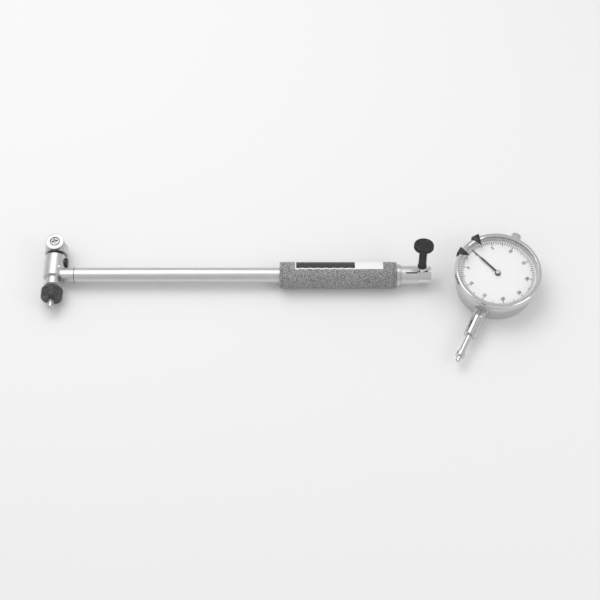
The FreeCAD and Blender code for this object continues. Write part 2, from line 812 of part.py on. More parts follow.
def tube_socket():
    """Collar between the head and the tube: saddled on the head, screwed into it and into the tube."""
    collar = turned("socket_turned", [
        (d.front_bush_radius, 0),
        (d.socket_radius, 0),
        (d.socket_radius, d.socket_end),
        (d.tube_bore_radius, d.socket_end),
        (d.tube_bore_radius, d.socket_end + d.spigot_length),
        (d.front_bush_radius, d.socket_end + d.spigot_length),
    ])
    eased(collar, "Chamfer", d.edge_bevel, [(d.socket_radius, d.socket_end)])
    collar.Placement = FreeCAD.Placement(FreeCAD.Vector(), ALONG_TUBE)
    saddle = cylinder("socket_saddle", d.head_radius, 4 * d.socket_radius, (0, -2 * d.socket_radius, 0), Y)
    screw_start = d.head_radius - d.socket_screw_depth
    screw = turned("socket_screw_turned", [
        (d.front_bush_radius, 0),
        (d.socket_screw_radius, 0),
        (d.socket_screw_radius, d.socket_screw_depth + d.cutter_overshoot),
        (d.front_bush_radius, d.socket_screw_depth + d.cutter_overshoot),
    ])
    screw.Placement = FreeCAD.Placement(vector(screw_start, 0, 0), ALONG_TUBE)
    socket = joined("tube_socket", [cut("socket_saddled", collar, [saddle]), screw])
    node("tube_socket", socket, HOLDER)


def tube():
    """Tube from the socket, through the grip, to the indicator clamp."""
    length = tube_end - d.socket_end
    pipe = turned("tube_turned", [
        (d.tube_bore_radius, 0),
        (d.tube_radius, 0),
        (d.tube_radius, length),
        (d.tube_bore_radius, length),
    ])
    node("tube", pipe, HOLDER, (d.socket_end, 0, 0), ALONG_TUBE)


def grip():
    """Insulating grip on the tube, stepped at both ends, and the ring that closes it."""
    neck = d.grip_radius - d.grip_step
    sleeve = turned("grip_turned", [
        (d.tube_radius, 0),
        (neck, 0),
        (neck, d.grip_step_length),
        (d.grip_radius, d.grip_step_length),
        (d.grip_radius, d.grip_length - d.grip_step_length),
        (neck, d.grip_length - d.grip_step_length),
        (neck, d.grip_length),
        (d.tube_radius, d.grip_length),
    ])
    node("grip", sleeve, HOLDER, (d.grip_start, 0, 0), ALONG_TUBE)
    ring = turned("grip_ring_turned", [
        (d.tube_radius, 0),
        (d.grip_ring_radius, 0),
        (d.grip_ring_radius, d.grip_ring_length),
        (d.tube_radius, d.grip_ring_length),
    ])
    node("grip_ring", ring, HOLDER, (d.grip_start + d.grip_length, 0, 0), ALONG_TUBE)


def push_rod():
    """Rod from the crank to the indicator, with a spring collar and an end button, and its bushes."""
    collar_start = d.rod_collar_start - rod_foot
    collar_end = collar_start + d.rod_collar_length
    button_end = rod_end - rod_foot
    button_start = button_end - d.rod_button_length
    rod = turned("push_rod_turned", [
        (0, 0),
        (d.rod_radius, 0),
        (d.rod_radius, collar_start),
        (d.rod_collar_radius, collar_start),
        (d.rod_collar_radius, collar_end),
        (d.rod_radius, collar_end),
        (d.rod_radius, button_start),
        (d.rod_button_radius, button_start),
        (d.rod_button_radius, button_end),
        (0, button_end),
    ])
    node("push_rod", rod, HOLDER, (rod_foot, 0, 0), ALONG_TUBE)
    bore = d.rod_radius + d.running_fit
    bushes = (
        ("front", d.front_bush_radius, d.socket_end + d.spigot_length - d.bush_length),
        ("middle", d.tube_bore_radius, d.rod_collar_start + d.rod_collar_length + d.rod_spring_length),
        ("rear", d.tube_bore_radius, rod_end - d.rod_button_length - d.rod_button_lift - d.bush_length))
    for place, radius, start in bushes:
        bush = turned(f"rod_bush_{place}_turned", [
            (bore, 0),
            (radius, 0),
            (radius, d.bush_length),
            (bore, d.bush_length),
        ])
        node(f"rod_bush_{place}", bush, HOLDER, (start, 0, 0), ALONG_TUBE)
    mean_radius = d.rod_radius + d.free_gap + 2 * d.rod_spring_wire
    length = d.rod_spring_length - 2 * d.rod_spring_wire
    coil = spring("push_rod_spring", mean_radius, d.rod_spring_wire, length, d.rod_spring_turns)
    start = d.rod_collar_start + d.rod_collar_length + d.rod_spring_wire
    node("push_rod_spring", coil, HOLDER, (start, 0, 0), ALONG_TUBE)


# ---------------------------------------------------------------- indicator clamp

def collet():
    """Slit sleeve that takes the indicator's stem, fixed in the tube's end by its spigot."""
    shoulder = d.spigot_length
    body_end = shoulder + d.collet_length
    end = body_end + d.clamp_ring_length + d.clamp_lip_length
    bottom = end - d.indicator_bore_depth
    blank = turned("collet_turned", [
        (point_way_radius, 0),
        (d.tube_bore_radius, 0),
        (d.tube_bore_radius, shoulder),
        (d.collet_radius, shoulder),
        (d.collet_radius, body_end),
        (d.finger_radius, body_end),
        (d.finger_radius, end),
        (indicator_bore_radius, end),
        (indicator_bore_radius, bottom),
        (point_way_radius, bottom),
    ])
    eased(blank, "Chamfer", d.edge_bevel, [(d.collet_radius, shoulder)])
    blank.Placement = FreeCAD.Placement(vector(tube_end - d.spigot_length, 0, 0), ALONG_TUBE)
    slit = box("collet_slit", d.slit_length, d.slit_width, 2 * d.collet_radius)
    lean = FreeCAD.Rotation(X, float(d.slit_angle))
    corner = lean.multVec(vector(0, -d.slit_width / 2, 0))
    slit.Placement = FreeCAD.Placement(vector(holder_end - d.slit_length, 0, 0) + corner, lean)
    node("collet", cut("collet", blank, [slit]), HOLDER)


def clamp():
    """Ring with a threaded boss over the slit end, and the thumb screw that presses a finger on the stem."""
    bore = d.finger_radius + d.running_fit
    length = d.clamp_ring_length + d.clamp_lip_length
    blank = turned("clamp_ring_turned", [
        (bore, 0),
        (d.clamp_ring_radius, 0),
        (d.clamp_ring_radius, d.clamp_ring_length),
        (d.clamp_lip_radius, d.clamp_ring_length),
        (d.clamp_lip_radius, length),
        (bore, length),
    ])
    blank.Placement = FreeCAD.Placement(vector(collet_end, 0, 0), ALONG_TUBE)
    lean = math.radians(float(d.clamp_lean))
    outward = FreeCAD.Vector(0, math.sin(lean), math.cos(lean))
    place = collet_end + d.clamp_screw_place
    boss = cylinder("clamp_boss", d.clamp_boss_radius, d.clamp_boss_reach, (place, 0, 0), outward)
    bore_again = cylinder("clamp_bore_again", bore, length, (collet_end, 0, 0), X)
    hole = cylinder("clamp_screw_hole", d.clamp_thread_radius + d.running_fit,
                    d.clamp_boss_reach + d.cutter_overshoot, (place, 0, 0), outward)
    bossed = joined("clamp_ring_bossed", [blank, boss])
    node("clamp_ring", cut("clamp_ring", bossed, [bore_again, hole]), HOLDER)

    tip = d.finger_radius + d.running_fit
    seat = d.clamp_boss_reach + d.free_gap - tip
    knob = seat + d.clamp_neck_length
    top = knob + d.clamp_knob_length
    screw = turned("clamp_screw_turned", [
        (0, 0),
        (d.clamp_thread_radius, 0),
        (d.clamp_thread_radius, seat),
        (d.clamp_neck_radius, seat),
        (d.clamp_waist_radius, knob),
        (d.clamp_knob_radius, knob),
        (d.clamp_knob_radius, top),
        (0, top),
    ])
    eased(screw, "Chamfer", d.edge_bevel, [(d.clamp_knob_radius, knob), (d.clamp_knob_radius, top)])
    start = vector(place, 0, 0) + outward * float(tip)
    node("clamp_screw", screw, HOLDER, tuple(start), along(outward))


# ---------------------------------------------------------------- indicator case

def lug_places():
    """Angles of the four lugs that take the back cover's screws."""
    return (d.case_lug_angle, 180 - d.case_lug_angle, 180 + d.case_lug_angle, -d.case_lug_angle)


def polar(radius, angle, height=0.0):
    turn = math.radians(float(angle))
    return (float(radius) * math.cos(turn), float(radius) * math.sin(turn), float(height))


def case():
    """Cup that is open at the back, with a web under the face and bosses for the stem and the cap."""
    base = d.cover_thickness
    web_top = d.case_web_height + d.case_web_thickness
    cup = turned("case_turned", [
        (case_inside, base),
        (d.case_radius, base),
        (d.case_radius, rim_top),
        (case_inside, rim_top),
        (case_inside, web_top),
        (d.centre_arbor_radius + d.running_fit, web_top),
        (d.centre_arbor_radius + d.running_fit, d.case_web_height),
        (case_inside, d.case_web_height),
    ])
    lug_length = d.case_web_height - base
    lugs = [cylinder(f"case_lug_{number}", d.case_lug_radius, lug_length, polar(lug_place, angle, base))
            for number, angle in enumerate(lug_places())]
    stem_boss = cylinder("stem_boss", d.stem_boss_radius, boss_end - case_inside,
                         (0, -case_inside, d.stem_height), -Y)
    cap_boss = cylinder("cap_boss", d.cap_boss_radius, boss_end - case_inside,
                        (0, case_inside, d.stem_height), Y)
    solid = joined("case_solid", [cup, stem_boss, cap_boss] + lugs)
    lug_holes = [cylinder(f"case_lug_hole_{number}", d.cover_screw_radius, d.cover_screw_length,
                          polar(lug_place, angle, 0)) for number, angle in enumerate(lug_places())]
    stem_hole = cylinder("case_stem_hole", d.stem_spigot_radius, d.case_radius,
                         (0, -case_inside + d.cutter_overshoot, d.stem_height), -Y)
    cap_hole = cylinder("case_cap_hole", d.spindle_radius + d.running_fit, d.case_radius,
                        (0, case_inside - d.cutter_overshoot, d.stem_height), Y)
    turn = math.radians(float(d.bezel_lock_angle))
    lock_start = polar(case_inside - d.cutter_overshoot, d.bezel_lock_angle, d.bezel_lock_height)
    lock_hole = cylinder("case_lock_hole", d.bezel_lock_radius + d.running_fit,
                         d.case_wall + 2 * d.cutter_overshoot, lock_start,
                         FreeCAD.Vector(math.cos(turn), math.sin(turn), 0))
    finished = cut("case", solid, lug_holes + [stem_hole, cap_hole, lock_hole])
    node("case", finished, DIAL)


def back_cover():
    """Flat back cover and its four countersunk screws."""
    disc = turned("back_cover_turned", [
        (0, 0),
        (d.case_radius, 0),
        (d.case_radius, d.cover_thickness),
        (0, d.cover_thickness),
    ])
    eased(disc, "Chamfer", d.edge_bevel, [(d.case_radius, 0)])
    sink = d.cover_screw_head_radius - d.cover_screw_radius
    cutters = []
    screws = []
    for number, angle in enumerate(lug_places()):
        cutters.append(cylinder(f"cover_hole_{number}", d.cover_screw_radius, d.cover_thickness,
                                polar(lug_place, angle, 0)))
        cutters.append(cone(f"cover_sink_{number}", d.cover_screw_head_radius, d.cover_screw_radius, sink,
                            polar(lug_place, angle, 0)))
        screw = turned(f"cover_screw_{number}", [
            (0, 0),
            (d.cover_screw_head_radius, 0),
            (d.cover_screw_radius, sink),
            (d.cover_screw_radius, d.cover_screw_length),
            (0, d.cover_screw_length),
        ])
        screw.Placement = FreeCAD.Placement(vector(*polar(lug_place, angle)), FreeCAD.Rotation())
        screws.append(screw)
    node("back_cover", cut("back_cover", disc, cutters), DIAL)
    node("back_cover_screws", group("back_cover_screws", screws), DIAL)


def stem_and_cap():
    """Stem pressed into the lower boss, and the cap over the spindle's upper end."""
    bore = d.spindle_radius + d.running_fit
    spigot_start = case_inside
    shoulder = boss_end - spigot_start
    end = stem_end - spigot_start
    stem = turned("stem_turned", [
        (bore, 0),
        (d.stem_spigot_radius, 0),
        (d.stem_spigot_radius, shoulder),
        (d.stem_radius, shoulder),
        (d.stem_radius, end),
        (bore, end),
    ])
    eased(stem, "Chamfer", d.edge_bevel, [(d.stem_radius, end)])
    node("stem", stem, DIAL, (0, -spigot_start, d.stem_height), TOWARDS_ANVIL)
    length = d.cap_length
    cap = turned("dust_cap_turned", [
        (d.cap_bore_radius, 0),
        (d.cap_radius, 0),
        (d.cap_radius, length),
        (0, length),
        (0, length - d.cap_wall),
        (d.cap_bore_radius, length - d.cap_wall),
    ])
    eased(cap, "Fillet", d.cap_wall, [(d.cap_radius, length)])
    node("dust_cap", cap, DIAL, (0, boss_end, d.stem_height), TOWARDS_CONTACT)


def bezel_lock_screw():
    """Small thumb screw in the case's side, under the bezel."""
    shank = d.case_wall + d.bezel_lock_gap
    total = shank + d.bezel_lock_head_length
    screw = turned("bezel_lock_turned", [
        (0, 0),
        (d.bezel_lock_radius, 0),
        (d.bezel_lock_radius, shank),
        (d.bezel_lock_head_radius, shank),
        (d.bezel_lock_head_radius, total),
        (0, total),
    ])
    eased(screw, "Chamfer", d.edge_bevel,
          [(d.bezel_lock_head_radius, shank), (d.bezel_lock_head_radius, total)])
    start = polar(case_inside, d.bezel_lock_angle, d.bezel_lock_height)
    outward = vector(*polar(1, d.bezel_lock_angle))
    node("bezel_lock_screw", screw, DIAL, start, along(outward))


# ---------------------------------------------------------------- indicator spindle and movement

def spindle():
    """Measuring spindle with its rack, contact point and guide pin."""
    length = spindle_bottom + spindle_top
    blank = cylinder("spindle_blank", d.spindle_radius, length, (0, -spindle_bottom, 0), Y)
    run_in = int(float(d.rack_run_in))
    grooves = math.ceil(float(d.spindle_travel) / float(d.rack_pitch)) + 2 * run_in
    rack_top = -gear_along + run_in * float(d.rack_pitch)
    rack_length = (grooves + 1) * d.rack_pitch
    flat_start = rack_top + d.rack_pitch / 2 - rack_length
    flat = box("rack_flat", d.spindle_radius, rack_length, 2 * d.spindle_radius,
               (-d.rack_flat - d.spindle_radius, flat_start, -d.spindle_radius))
    half_top = (1 - d.tooth_fill) * d.rack_pitch / 2
    half_mouth = half_top + (d.rack_flat - d.rack_pitch_line) * tooth_slope
    floor = d.rack_flat - d.rack_depth
    half_floor = half_mouth - d.rack_depth * tooth_slope
    cutters = [flat]
    for number in range(grooves):
        centre = rack_top - number * d.rack_pitch
        groove = prism(f"rack_groove_{number}", [
            (-d.rack_flat - d.rack_depth, -half_mouth),
            (-d.rack_flat, -half_mouth),
            (-floor, -half_floor),
            (-floor, half_floor),
            (-d.rack_flat, half_mouth),
            (-d.rack_flat - d.rack_depth, half_mouth),
        ], 2 * d.spindle_radius)
        groove.Placement = FreeCAD.Placement(vector(0, centre, -d.spindle_radius), FreeCAD.Rotation())
        cutters.append(groove)
    pin_hole = cylinder("spindle_pin_hole", d.spindle_pin_radius, d.spindle_radius,
                        (0, d.guide_pin_place, -d.spindle_radius))
    cutters.append(pin_hole)
    node("spindle", cut("spindle", blank, cutters), DIAL, (0, 0, d.stem_height))

    collar_end = d.point_collar_start + d.point_collar_length
    neck_end = d.point_reach
    point = turned("contact_point_turned", [
        (0, 0),
        (d.spindle_radius, 0),
        (d.spindle_radius, d.point_collar_start),
        (d.point_collar_radius, d.point_collar_start),
        (d.point_collar_radius, collar_end),
        (d.point_neck_radius, collar_end),
        (d.point_neck_radius, neck_end),
        (0, neck_end),
    ])
    eased(point, "Fillet", d.point_rounding, [(d.point_neck_radius, neck_end)])
    node("contact_point", point, DIAL, (0, -spindle_bottom, d.stem_height), TOWARDS_ANVIL)

    pin_foot = d.rear_plate_height + d.free_gap
    pin = cylinder("spindle_guide_pin", d.spindle_pin_radius, d.stem_height - pin_foot)
    node("spindle_guide_pin", pin, DIAL, (0, d.guide_pin_place, pin_foot))


def gear(name, teeth, radius, thickness):
    """Spur gear about its own Z axis with a tooth on +X, standing on z = 0."""
    body = doc.addObject("PartDesign::Body", name)
    root = radius - d.gear_tooth_depth
    tip = radius + d.gear_tooth_rise
    disc = body.newObject("PartDesign::Pad", name + "_disc")
    disc.Profile = ring_sketch(body, name + "_root", "XY_Plane", 0, 0, root)
    bind(disc, "Length", thickness)
    half = d.tooth_fill * math.pi * radius / teeth
    tip_half = half - d.gear_tooth_rise * tooth_slope
    root_half = half + d.gear_tooth_depth * tooth_slope / 2
    sunk = root - d.gear_tooth_depth
    tooth = body.newObject("PartDesign::Pad", name + "_tooth")
    tooth.Profile = outline(body, name + "_tooth_outline", "XY_Plane", [
        (sunk, -root_half),
        (root, -root_half),
        (tip, -tip_half),
        (tip, tip_half),
        (root, root_half),
        (sunk, root_half),
    ])
    bind(tooth, "Length", thickness)
    doc.recompute()
    pattern = body.newObject("PartDesign::PolarPattern", name + "_teeth")
    pattern.Originals = [tooth]
    pattern.Axis = (origin_part(body, "Z_Axis"), [""])
    pattern.Angle = 360
    bind(pattern, "Occurrences", teeth)
    body.Tip = pattern
    doc.recompute()
    return body


def gears():
    """Rack gear, centre arbor and take-up gear, in mesh with each other and with the rack."""
    arbor_foot = d.rear_plate_height
    arbor_top = d.case_web_height - d.free_gap
    gear_low = d.gear_height
    pinion_low = d.stem_height - d.spindle_radius / 2

    wheel = gear("rack_gear_wheel", d.gear_teeth, d.gear_radius, d.gear_thickness)
    wheel.Placement = FreeCAD.Placement(vector(0, 0, gear_low), FreeCAD.Rotation(Z, gear_bearing))
    pinion = gear("rack_gear_pinion", d.pinion_teeth, pinion_radius, d.spindle_radius)
    pinion.Placement = FreeCAD.Placement(vector(0, 0, pinion_low), FreeCAD.Rotation())
    arbor = cylinder("rack_gear_arbor", d.arbor_radius, arbor_top - arbor_foot, (0, 0, arbor_foot))
    rack_gear = joined("rack_gear", [wheel, pinion, arbor])
    node("rack_gear", rack_gear, DIAL, (-gear_across, -gear_along, 0))

    wheel = gear("take_up_gear_wheel", d.gear_teeth, d.gear_radius, d.gear_thickness)
    wheel.Placement = FreeCAD.Placement(vector(0, 0, gear_low), FreeCAD.Rotation(Z, gear_bearing + 180))
    arbor = cylinder("take_up_gear_arbor", d.arbor_radius, arbor_top - arbor_foot, (0, 0, arbor_foot))
    node("take_up_gear", joined("take_up_gear", [wheel, arbor]), DIAL, (gear_across, gear_along, 0))

    half_tooth = 180 / float(d.centre_teeth)
    pinion = gear("centre_pinion", d.centre_teeth, centre_radius, d.gear_thickness + d.free_gap)
    pinion.Placement = FreeCAD.Placement(
        vector(0, 0, gear_low - d.free_gap / 2), FreeCAD.Rotation(Z, gear_bearing + half_tooth))
    arbor = cylinder("centre_arbor_rod", d.centre_arbor_radius, d.needle_height - gear_low, (0, 0, gear_low))
    arbor_node = joined("centre_arbor", [pinion, arbor])
    node("centre_arbor", arbor_node, DIAL)


def pillar_places():
    """Angles of the four pillars between the movement's plates, clear of both gears."""
    return (0, 180, d.pillar_angle, d.pillar_angle - 180)


def movement_plates():
    """Front and rear plates with the arbors' pivot holes, on four pillars."""
    pivot = d.arbor_radius + d.running_fit
    for side, low in (("front", front_plate_height), ("rear", d.rear_plate_height)):
        plate = cylinder(f"{side}_plate_disc", plate_radius, d.plate_thickness)
        cutters = [
            cylinder(f"{side}_plate_rack_pivot", pivot, d.plate_thickness, (-gear_across, -gear_along, 0)),
            cylinder(f"{side}_plate_take_up_pivot", pivot, d.plate_thickness, (gear_across, gear_along, 0))]
        if side == "front":
            cutters.append(cylinder("front_plate_centre_pivot", d.centre_arbor_radius + d.running_fit,
                                    d.plate_thickness))
        else:
            slot_half = d.spindle_pin_radius + d.running_fit
            slot_start = d.guide_pin_place - d.spindle_pin_radius - d.running_fit
            slot_length = d.spindle_travel + 2 * slot_half + d.free_gap
            cutters.append(box("rear_plate_slot", 2 * slot_half, slot_length, d.plate_thickness,
                               (-slot_half, slot_start, 0)))
        node(f"{side}_plate", cut(f"{side}_plate", plate, cutters), DIAL, (0, 0, low))
    foot = d.rear_plate_height + d.plate_thickness
    pillars = [cylinder(f"pillar_{number}", d.pillar_radius, front_plate_height - foot,
                        polar(pillar_place, angle, foot)) for number, angle in enumerate(pillar_places())]
    node("plate_pillars", group("plate_pillars", pillars), DIAL)


# ---------------------------------------------------------------- indicator face, bezel and pointer

def bezel():
    """Turning bezel with the face and the crystal that it carries."""
    skirt = d.case_radius + d.free_gap
    inside = face_radius + d.free_gap
    crystal_top = d.bezel_top - d.bezel_lip_thickness
    ring = turned("bezel_turned", [
        (skirt, d.bezel_bottom),
        (bezel_radius - d.bezel_bevel, d.bezel_bottom),
        (bezel_radius, d.bezel_bottom + d.bezel_bevel),
        (bezel_radius, d.bezel_top - d.bezel_crown),
        (bezel_radius - d.bezel_crown_width, d.bezel_top),
        (lip_radius + d.bezel_lip_thickness, d.bezel_top),
        (lip_radius, crystal_top),
        (crystal_radius, crystal_top),
        (crystal_radius, crystal_height),
        (inside, crystal_height),
        (inside, d.face_height - d.free_gap),
        (skirt, d.face_height - d.free_gap),
    ])
    node("bezel", ring, DIAL)
    face = turned("dial_face_turned", [
        (d.face_hole_radius, 0),
        (face_radius, 0),
        (face_radius, d.face_thickness),
        (d.face_hole_radius, d.face_thickness),
    ])
    node("dial_face", face, DIAL, (0, 0, d.face_height), FreeCAD.Rotation(Z, float(d.needle_angle)))
    crystal = turned("crystal_turned", [
        (0, 0),
        (crystal_radius, 0),
        (crystal_radius, d.crystal_thickness),
        (0, d.crystal_thickness),
    ])
    node("crystal", crystal, DIAL, (0, 0, crystal_height))


def needle():
    """Pointer with a broad inner half, a fine outer half and a round hub."""
    broad = d.needle_broad_width / 2
    fine = d.needle_width / 2
    blade = prism("needle_blade", [
        (0, -broad),
        (d.needle_broad_length, -broad),
        (d.needle_broad_length + d.needle_broad_width, -fine),
        (needle_length - d.needle_width, -fine),
        (needle_length, 0),
        (needle_length - d.needle_width, fine),
        (d.needle_broad_length + d.needle_broad_width, fine),
        (d.needle_broad_length, broad),
        (0, broad),
    ], d.needle_thickness)
    hub = cylinder("needle_hub", d.needle_hub_radius, d.needle_hub_height)
    pointer = joined("needle", [blade, hub])
    node("needle", pointer, DIAL, (0, 0, d.needle_height), FreeCAD.Rotation(Z, float(d.needle_angle)))


def limit_markers():
    """Two clips on the bezel that point at the limits of a tolerance."""
    outer = bezel_radius + d.free_gap + d.marker_thickness
    shoulder = bezel_radius - d.marker_shoulder_inset
    for name, angle in (("first", d.marker_first_angle), ("second", d.marker_second_angle)):
        pointer = prism(f"marker_{name}_pointer", [
            (bezel_radius - d.marker_reach, 0),
            (shoulder, -d.marker_shoulder_half_width),
            (outer, -d.marker_half_width),
            (outer, d.marker_half_width),
            (shoulder, d.marker_shoulder_half_width),
        ], d.marker_thickness)
        leg = box(f"marker_{name}_leg", d.marker_thickness, 2 * d.marker_half_width, d.marker_leg,
                  (bezel_radius + d.free_gap, -d.marker_half_width, d.marker_thickness - d.marker_leg))
        marker = joined(f"limit_marker_{name}", [pointer, leg])
        node(f"limit_marker_{name}", marker, DIAL, (0, 0, d.bezel_top + d.free_gap),
             FreeCAD.Rotation(Z, float(angle)))


# ---------------------------------------------------------------- build, check and write

def check_document():
    """Stop at any feature that failed and at any piece without a valid shape."""
    doc.recompute()
    failed = [item.Label for item in doc.Objects if "Invalid" in item.State or "Error" in item.State]
    if failed:
        raise RuntimeError("failed features: " + ", ".join(failed))
    for piece in nodes:
        if piece.Shape.isNull() or not piece.Shape.isValid():
            raise RuntimeError("bad shape: " + piece.Label)


def write_pieces():
    os.makedirs("parts", exist_ok=True)
    for piece in nodes:
        piece.Shape.exportStep(f"parts/{piece.Label}.step")
        print(f"{piece.Label}: {len(piece.Shape.Solids)} solid, {piece.Shape.Volume:.1f} mm3")


head_body()
contact()
crank()
anvil()
lock_nut()
bridge()
bridge_pins()
bridge_spring()
rollers()
stop_screw()
tube_socket()
tube()
grip()
push_rod()
collet()
clamp()
case()
back_cover()
stem_and_cap()
bezel_lock_screw()
spindle()
gears()
movement_plates()
bezel()
needle()
limit_markers()
check_document()
write_pieces()
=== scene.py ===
import json
import math

import bmesh
import bpy
from mathutils import Matrix, Vector


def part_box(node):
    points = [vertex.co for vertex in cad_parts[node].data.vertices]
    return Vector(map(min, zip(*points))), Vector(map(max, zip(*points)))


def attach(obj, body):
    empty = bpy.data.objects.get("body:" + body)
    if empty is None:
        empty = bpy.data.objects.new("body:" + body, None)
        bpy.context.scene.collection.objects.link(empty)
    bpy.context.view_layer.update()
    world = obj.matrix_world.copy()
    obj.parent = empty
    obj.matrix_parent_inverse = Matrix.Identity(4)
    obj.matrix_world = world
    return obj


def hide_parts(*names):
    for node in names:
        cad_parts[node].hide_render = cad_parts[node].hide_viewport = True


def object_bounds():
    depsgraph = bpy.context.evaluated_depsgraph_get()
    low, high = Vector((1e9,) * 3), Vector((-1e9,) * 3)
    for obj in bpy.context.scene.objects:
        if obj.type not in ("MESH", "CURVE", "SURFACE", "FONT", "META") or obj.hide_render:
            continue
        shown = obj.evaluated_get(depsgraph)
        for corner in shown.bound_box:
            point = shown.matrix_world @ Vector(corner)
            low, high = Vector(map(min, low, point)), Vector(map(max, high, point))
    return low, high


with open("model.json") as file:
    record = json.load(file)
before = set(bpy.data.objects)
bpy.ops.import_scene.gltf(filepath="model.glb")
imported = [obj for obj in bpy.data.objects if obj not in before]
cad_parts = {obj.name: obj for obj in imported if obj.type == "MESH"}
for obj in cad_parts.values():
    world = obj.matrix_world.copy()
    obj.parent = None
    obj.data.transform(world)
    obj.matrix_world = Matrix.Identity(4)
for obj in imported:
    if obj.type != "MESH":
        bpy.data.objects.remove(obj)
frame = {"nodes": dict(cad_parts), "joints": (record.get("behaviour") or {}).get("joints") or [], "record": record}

# Looks of a dial bore gauge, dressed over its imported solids. Lengths are in metres, angles in radians
# unless a name says degrees. Places come from the solids' boxes and from the record's joints and mounts.

MM = 0.001
X = Vector((1, 0, 0))
Y = Vector((0, 1, 0))
Z = Vector((0, 0, 1))
TURN = 2 * math.pi

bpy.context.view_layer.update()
record = frame["record"]
joints = {joint["name"]: joint for joint in frame["joints"]}
mounts = {mount["name"]: mount for mount in record["mounts"]}


# ---------------------------------------------------------------- places read from the solids

def low(node):
    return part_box(node)[0]


def high(node):
    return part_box(node)[1]


def middle(node):
    return (low(node) + high(node)) / 2


def size(node):
    return high(node) - low(node)


tube_axis = middle("tube")
head = Vector((middle("head_body").x, tube_axis.y, tube_axis.z))
dial_up = Vector(joints["spindle_slide"]["axis"]).normalized()
dial_right = dial_up.cross(Z).normalized()
stem_height = mounts["indicator_stem"]["pos_m"][2]
clamp_out = Vector(joints["clamp_screw_turn"]["axis"]).normalized()
clamp_root = Vector(joints["clamp_screw_turn"]["pos_m"])


def place(origin, up, spin=0.0):
    """Matrix that stands a piece made about its own Z axis at an origin, along a direction."""
    turn = Z.rotation_difference(up).to_matrix().to_4x4()
    return Matrix.Translation(origin) @ turn @ Matrix.Rotation(spin, 4, "Z")


DIAL = Matrix((dial_right.to_4d(), dial_up.to_4d(), Z.to_4d(), Vector((0, 0, 0, 1)))).transposed()
for row in range(3):
    DIAL[row][3] = 0.0


# ---------------------------------------------------------------- mesh making

def finish_mesh(name, bm, material, matrix=Matrix(), smooth_angle=38):
    """Object from a bmesh, shaded smooth except across sharp corners."""
    bmesh.ops.recalc_face_normals(bm, faces=bm.faces)
    mesh = bpy.data.meshes.new(name)
    bm.to_mesh(mesh)
    bm.free()
    mesh.transform(matrix)
    mesh.materials.append(material)
    mesh.shade_smooth()
    mesh.set_sharp_from_angle(angle=math.radians(smooth_angle))
    piece = bpy.data.objects.new(name, mesh)
    bpy.context.scene.collection.objects.link(piece)
    return piece


def rounded(corners, steps=4):
    """Profile points from (radius, height, rounding) corners, each rounding an arc of a few steps."""
    points = []
    count = len(corners)
    for index, (across, up, rounding) in enumerate(corners):
        here = Vector((across, up))
        if not rounding:
            points.append(here)
            continue
        before = Vector(corners[index - 1][:2]) - here
        after = Vector(corners[(index + 1) % count][:2]) - here
        half = before.angle(after) / 2
        reach = min(rounding / math.tan(half), before.length * 0.49, after.length * 0.49)
        radius = reach * math.tan(half)
        bisector = (before.normalized() + after.normalized()).normalized()
        centre = here + bisector * (radius / math.sin(half))
        start = here + before.normalized() * reach - centre
        sweep = start.angle_signed(here + after.normalized() * reach - centre)
        for step in range(steps + 1):
            turned = start.copy()
            turned.rotate(Matrix.Rotation(-sweep * step / steps, 2))
            points.append(centre + turned)
    return points


def lathe(name, points, material, matrix=Matrix(), segments=96, wave=None, smooth_angle=38):
    """Closed profile of (radius, height) points turned about Z; wave(angle, radius, height) shifts the radius."""
    bm = bmesh.new()
    rings = []
    for across, up in points:
        if across < 1e-7:
            rings.append([bm.verts.new((0, 0, up))])
            continue
        ring = []
        for number in range(segments):
            angle = TURN * number / segments
            radius = across + (wave(angle, across, up) if wave else 0.0)
            ring.append(bm.verts.new((radius * math.cos(angle), radius * math.sin(angle), up)))
        rings.append(ring)
    for index, ring in enumerate(rings):
        following = rings[(index + 1) % len(rings)]
        for number in range(segments):
            nearby = (number + 1) % segments
            loop = [ring[number % len(ring)], ring[nearby % len(ring)],
                    following[nearby % len(following)], following[number % len(following)]]
            corners = list(dict.fromkeys(loop))
            if len(corners) > 2:
                bm.faces.new(corners)
    return finish_mesh(name, bm, material, matrix, smooth_angle)


def dense(points, step):
    """The points with more added between them, no further apart than the step."""
    result = []
    for index, point in enumerate(points):
        following = points[(index + 1) % len(points)]
        count = max(1, math.ceil((following - point).length / step))
        result += [point.lerp(following, part / count) for part in range(count)]
    return result


def slab(name, outline, thickness, material, matrix=Matrix(), bevel=0.0, bevel_steps=2):
    """Flat piece from a closed outline of (x, y) points, standing on z = 0, with its edges eased."""
    bm = bmesh.new()
    bottom = [bm.verts.new((across, up, 0)) for across, up in outline]
    face = bm.faces.new(bottom)
    extruded = bmesh.ops.extrude_face_region(bm, geom=[face])
    for item in extruded["geom"]:
        if isinstance(item, bmesh.types.BMVert):
            item.co.z = thickness
    if bevel:
        edges = [edge for edge in bm.edges if abs(edge.verts[0].co.z - edge.verts[1].co.z) < 1e-9]
        bmesh.ops.bevel(bm, geom=edges, offset=bevel, segments=bevel_steps, affect="EDGES", profile=0.5)
    return finish_mesh(name, bm, material, matrix)


def ride(piece, body, slot, *replaced):
    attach(piece, body)
    if replaced:
        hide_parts(*replaced)
    return piece


# ---------------------------------------------------------------- materials

def node_material(name):
    """Empty node material with its shader, and a function that adds and links a node."""
    material = bpy.data.materials.new(name)
    material.use_nodes = True
    tree = material.node_tree
    shader = tree.nodes["Principled BSDF"]

    def add(kind, links=(), **values):
        item = tree.nodes.new(kind)
        for key, value in values.items():
            if hasattr(item, key):
                setattr(item, key, value)
        for source, target in links:
            tree.links.new(source, item.inputs[target])
        return item

    return material, tree, shader, add


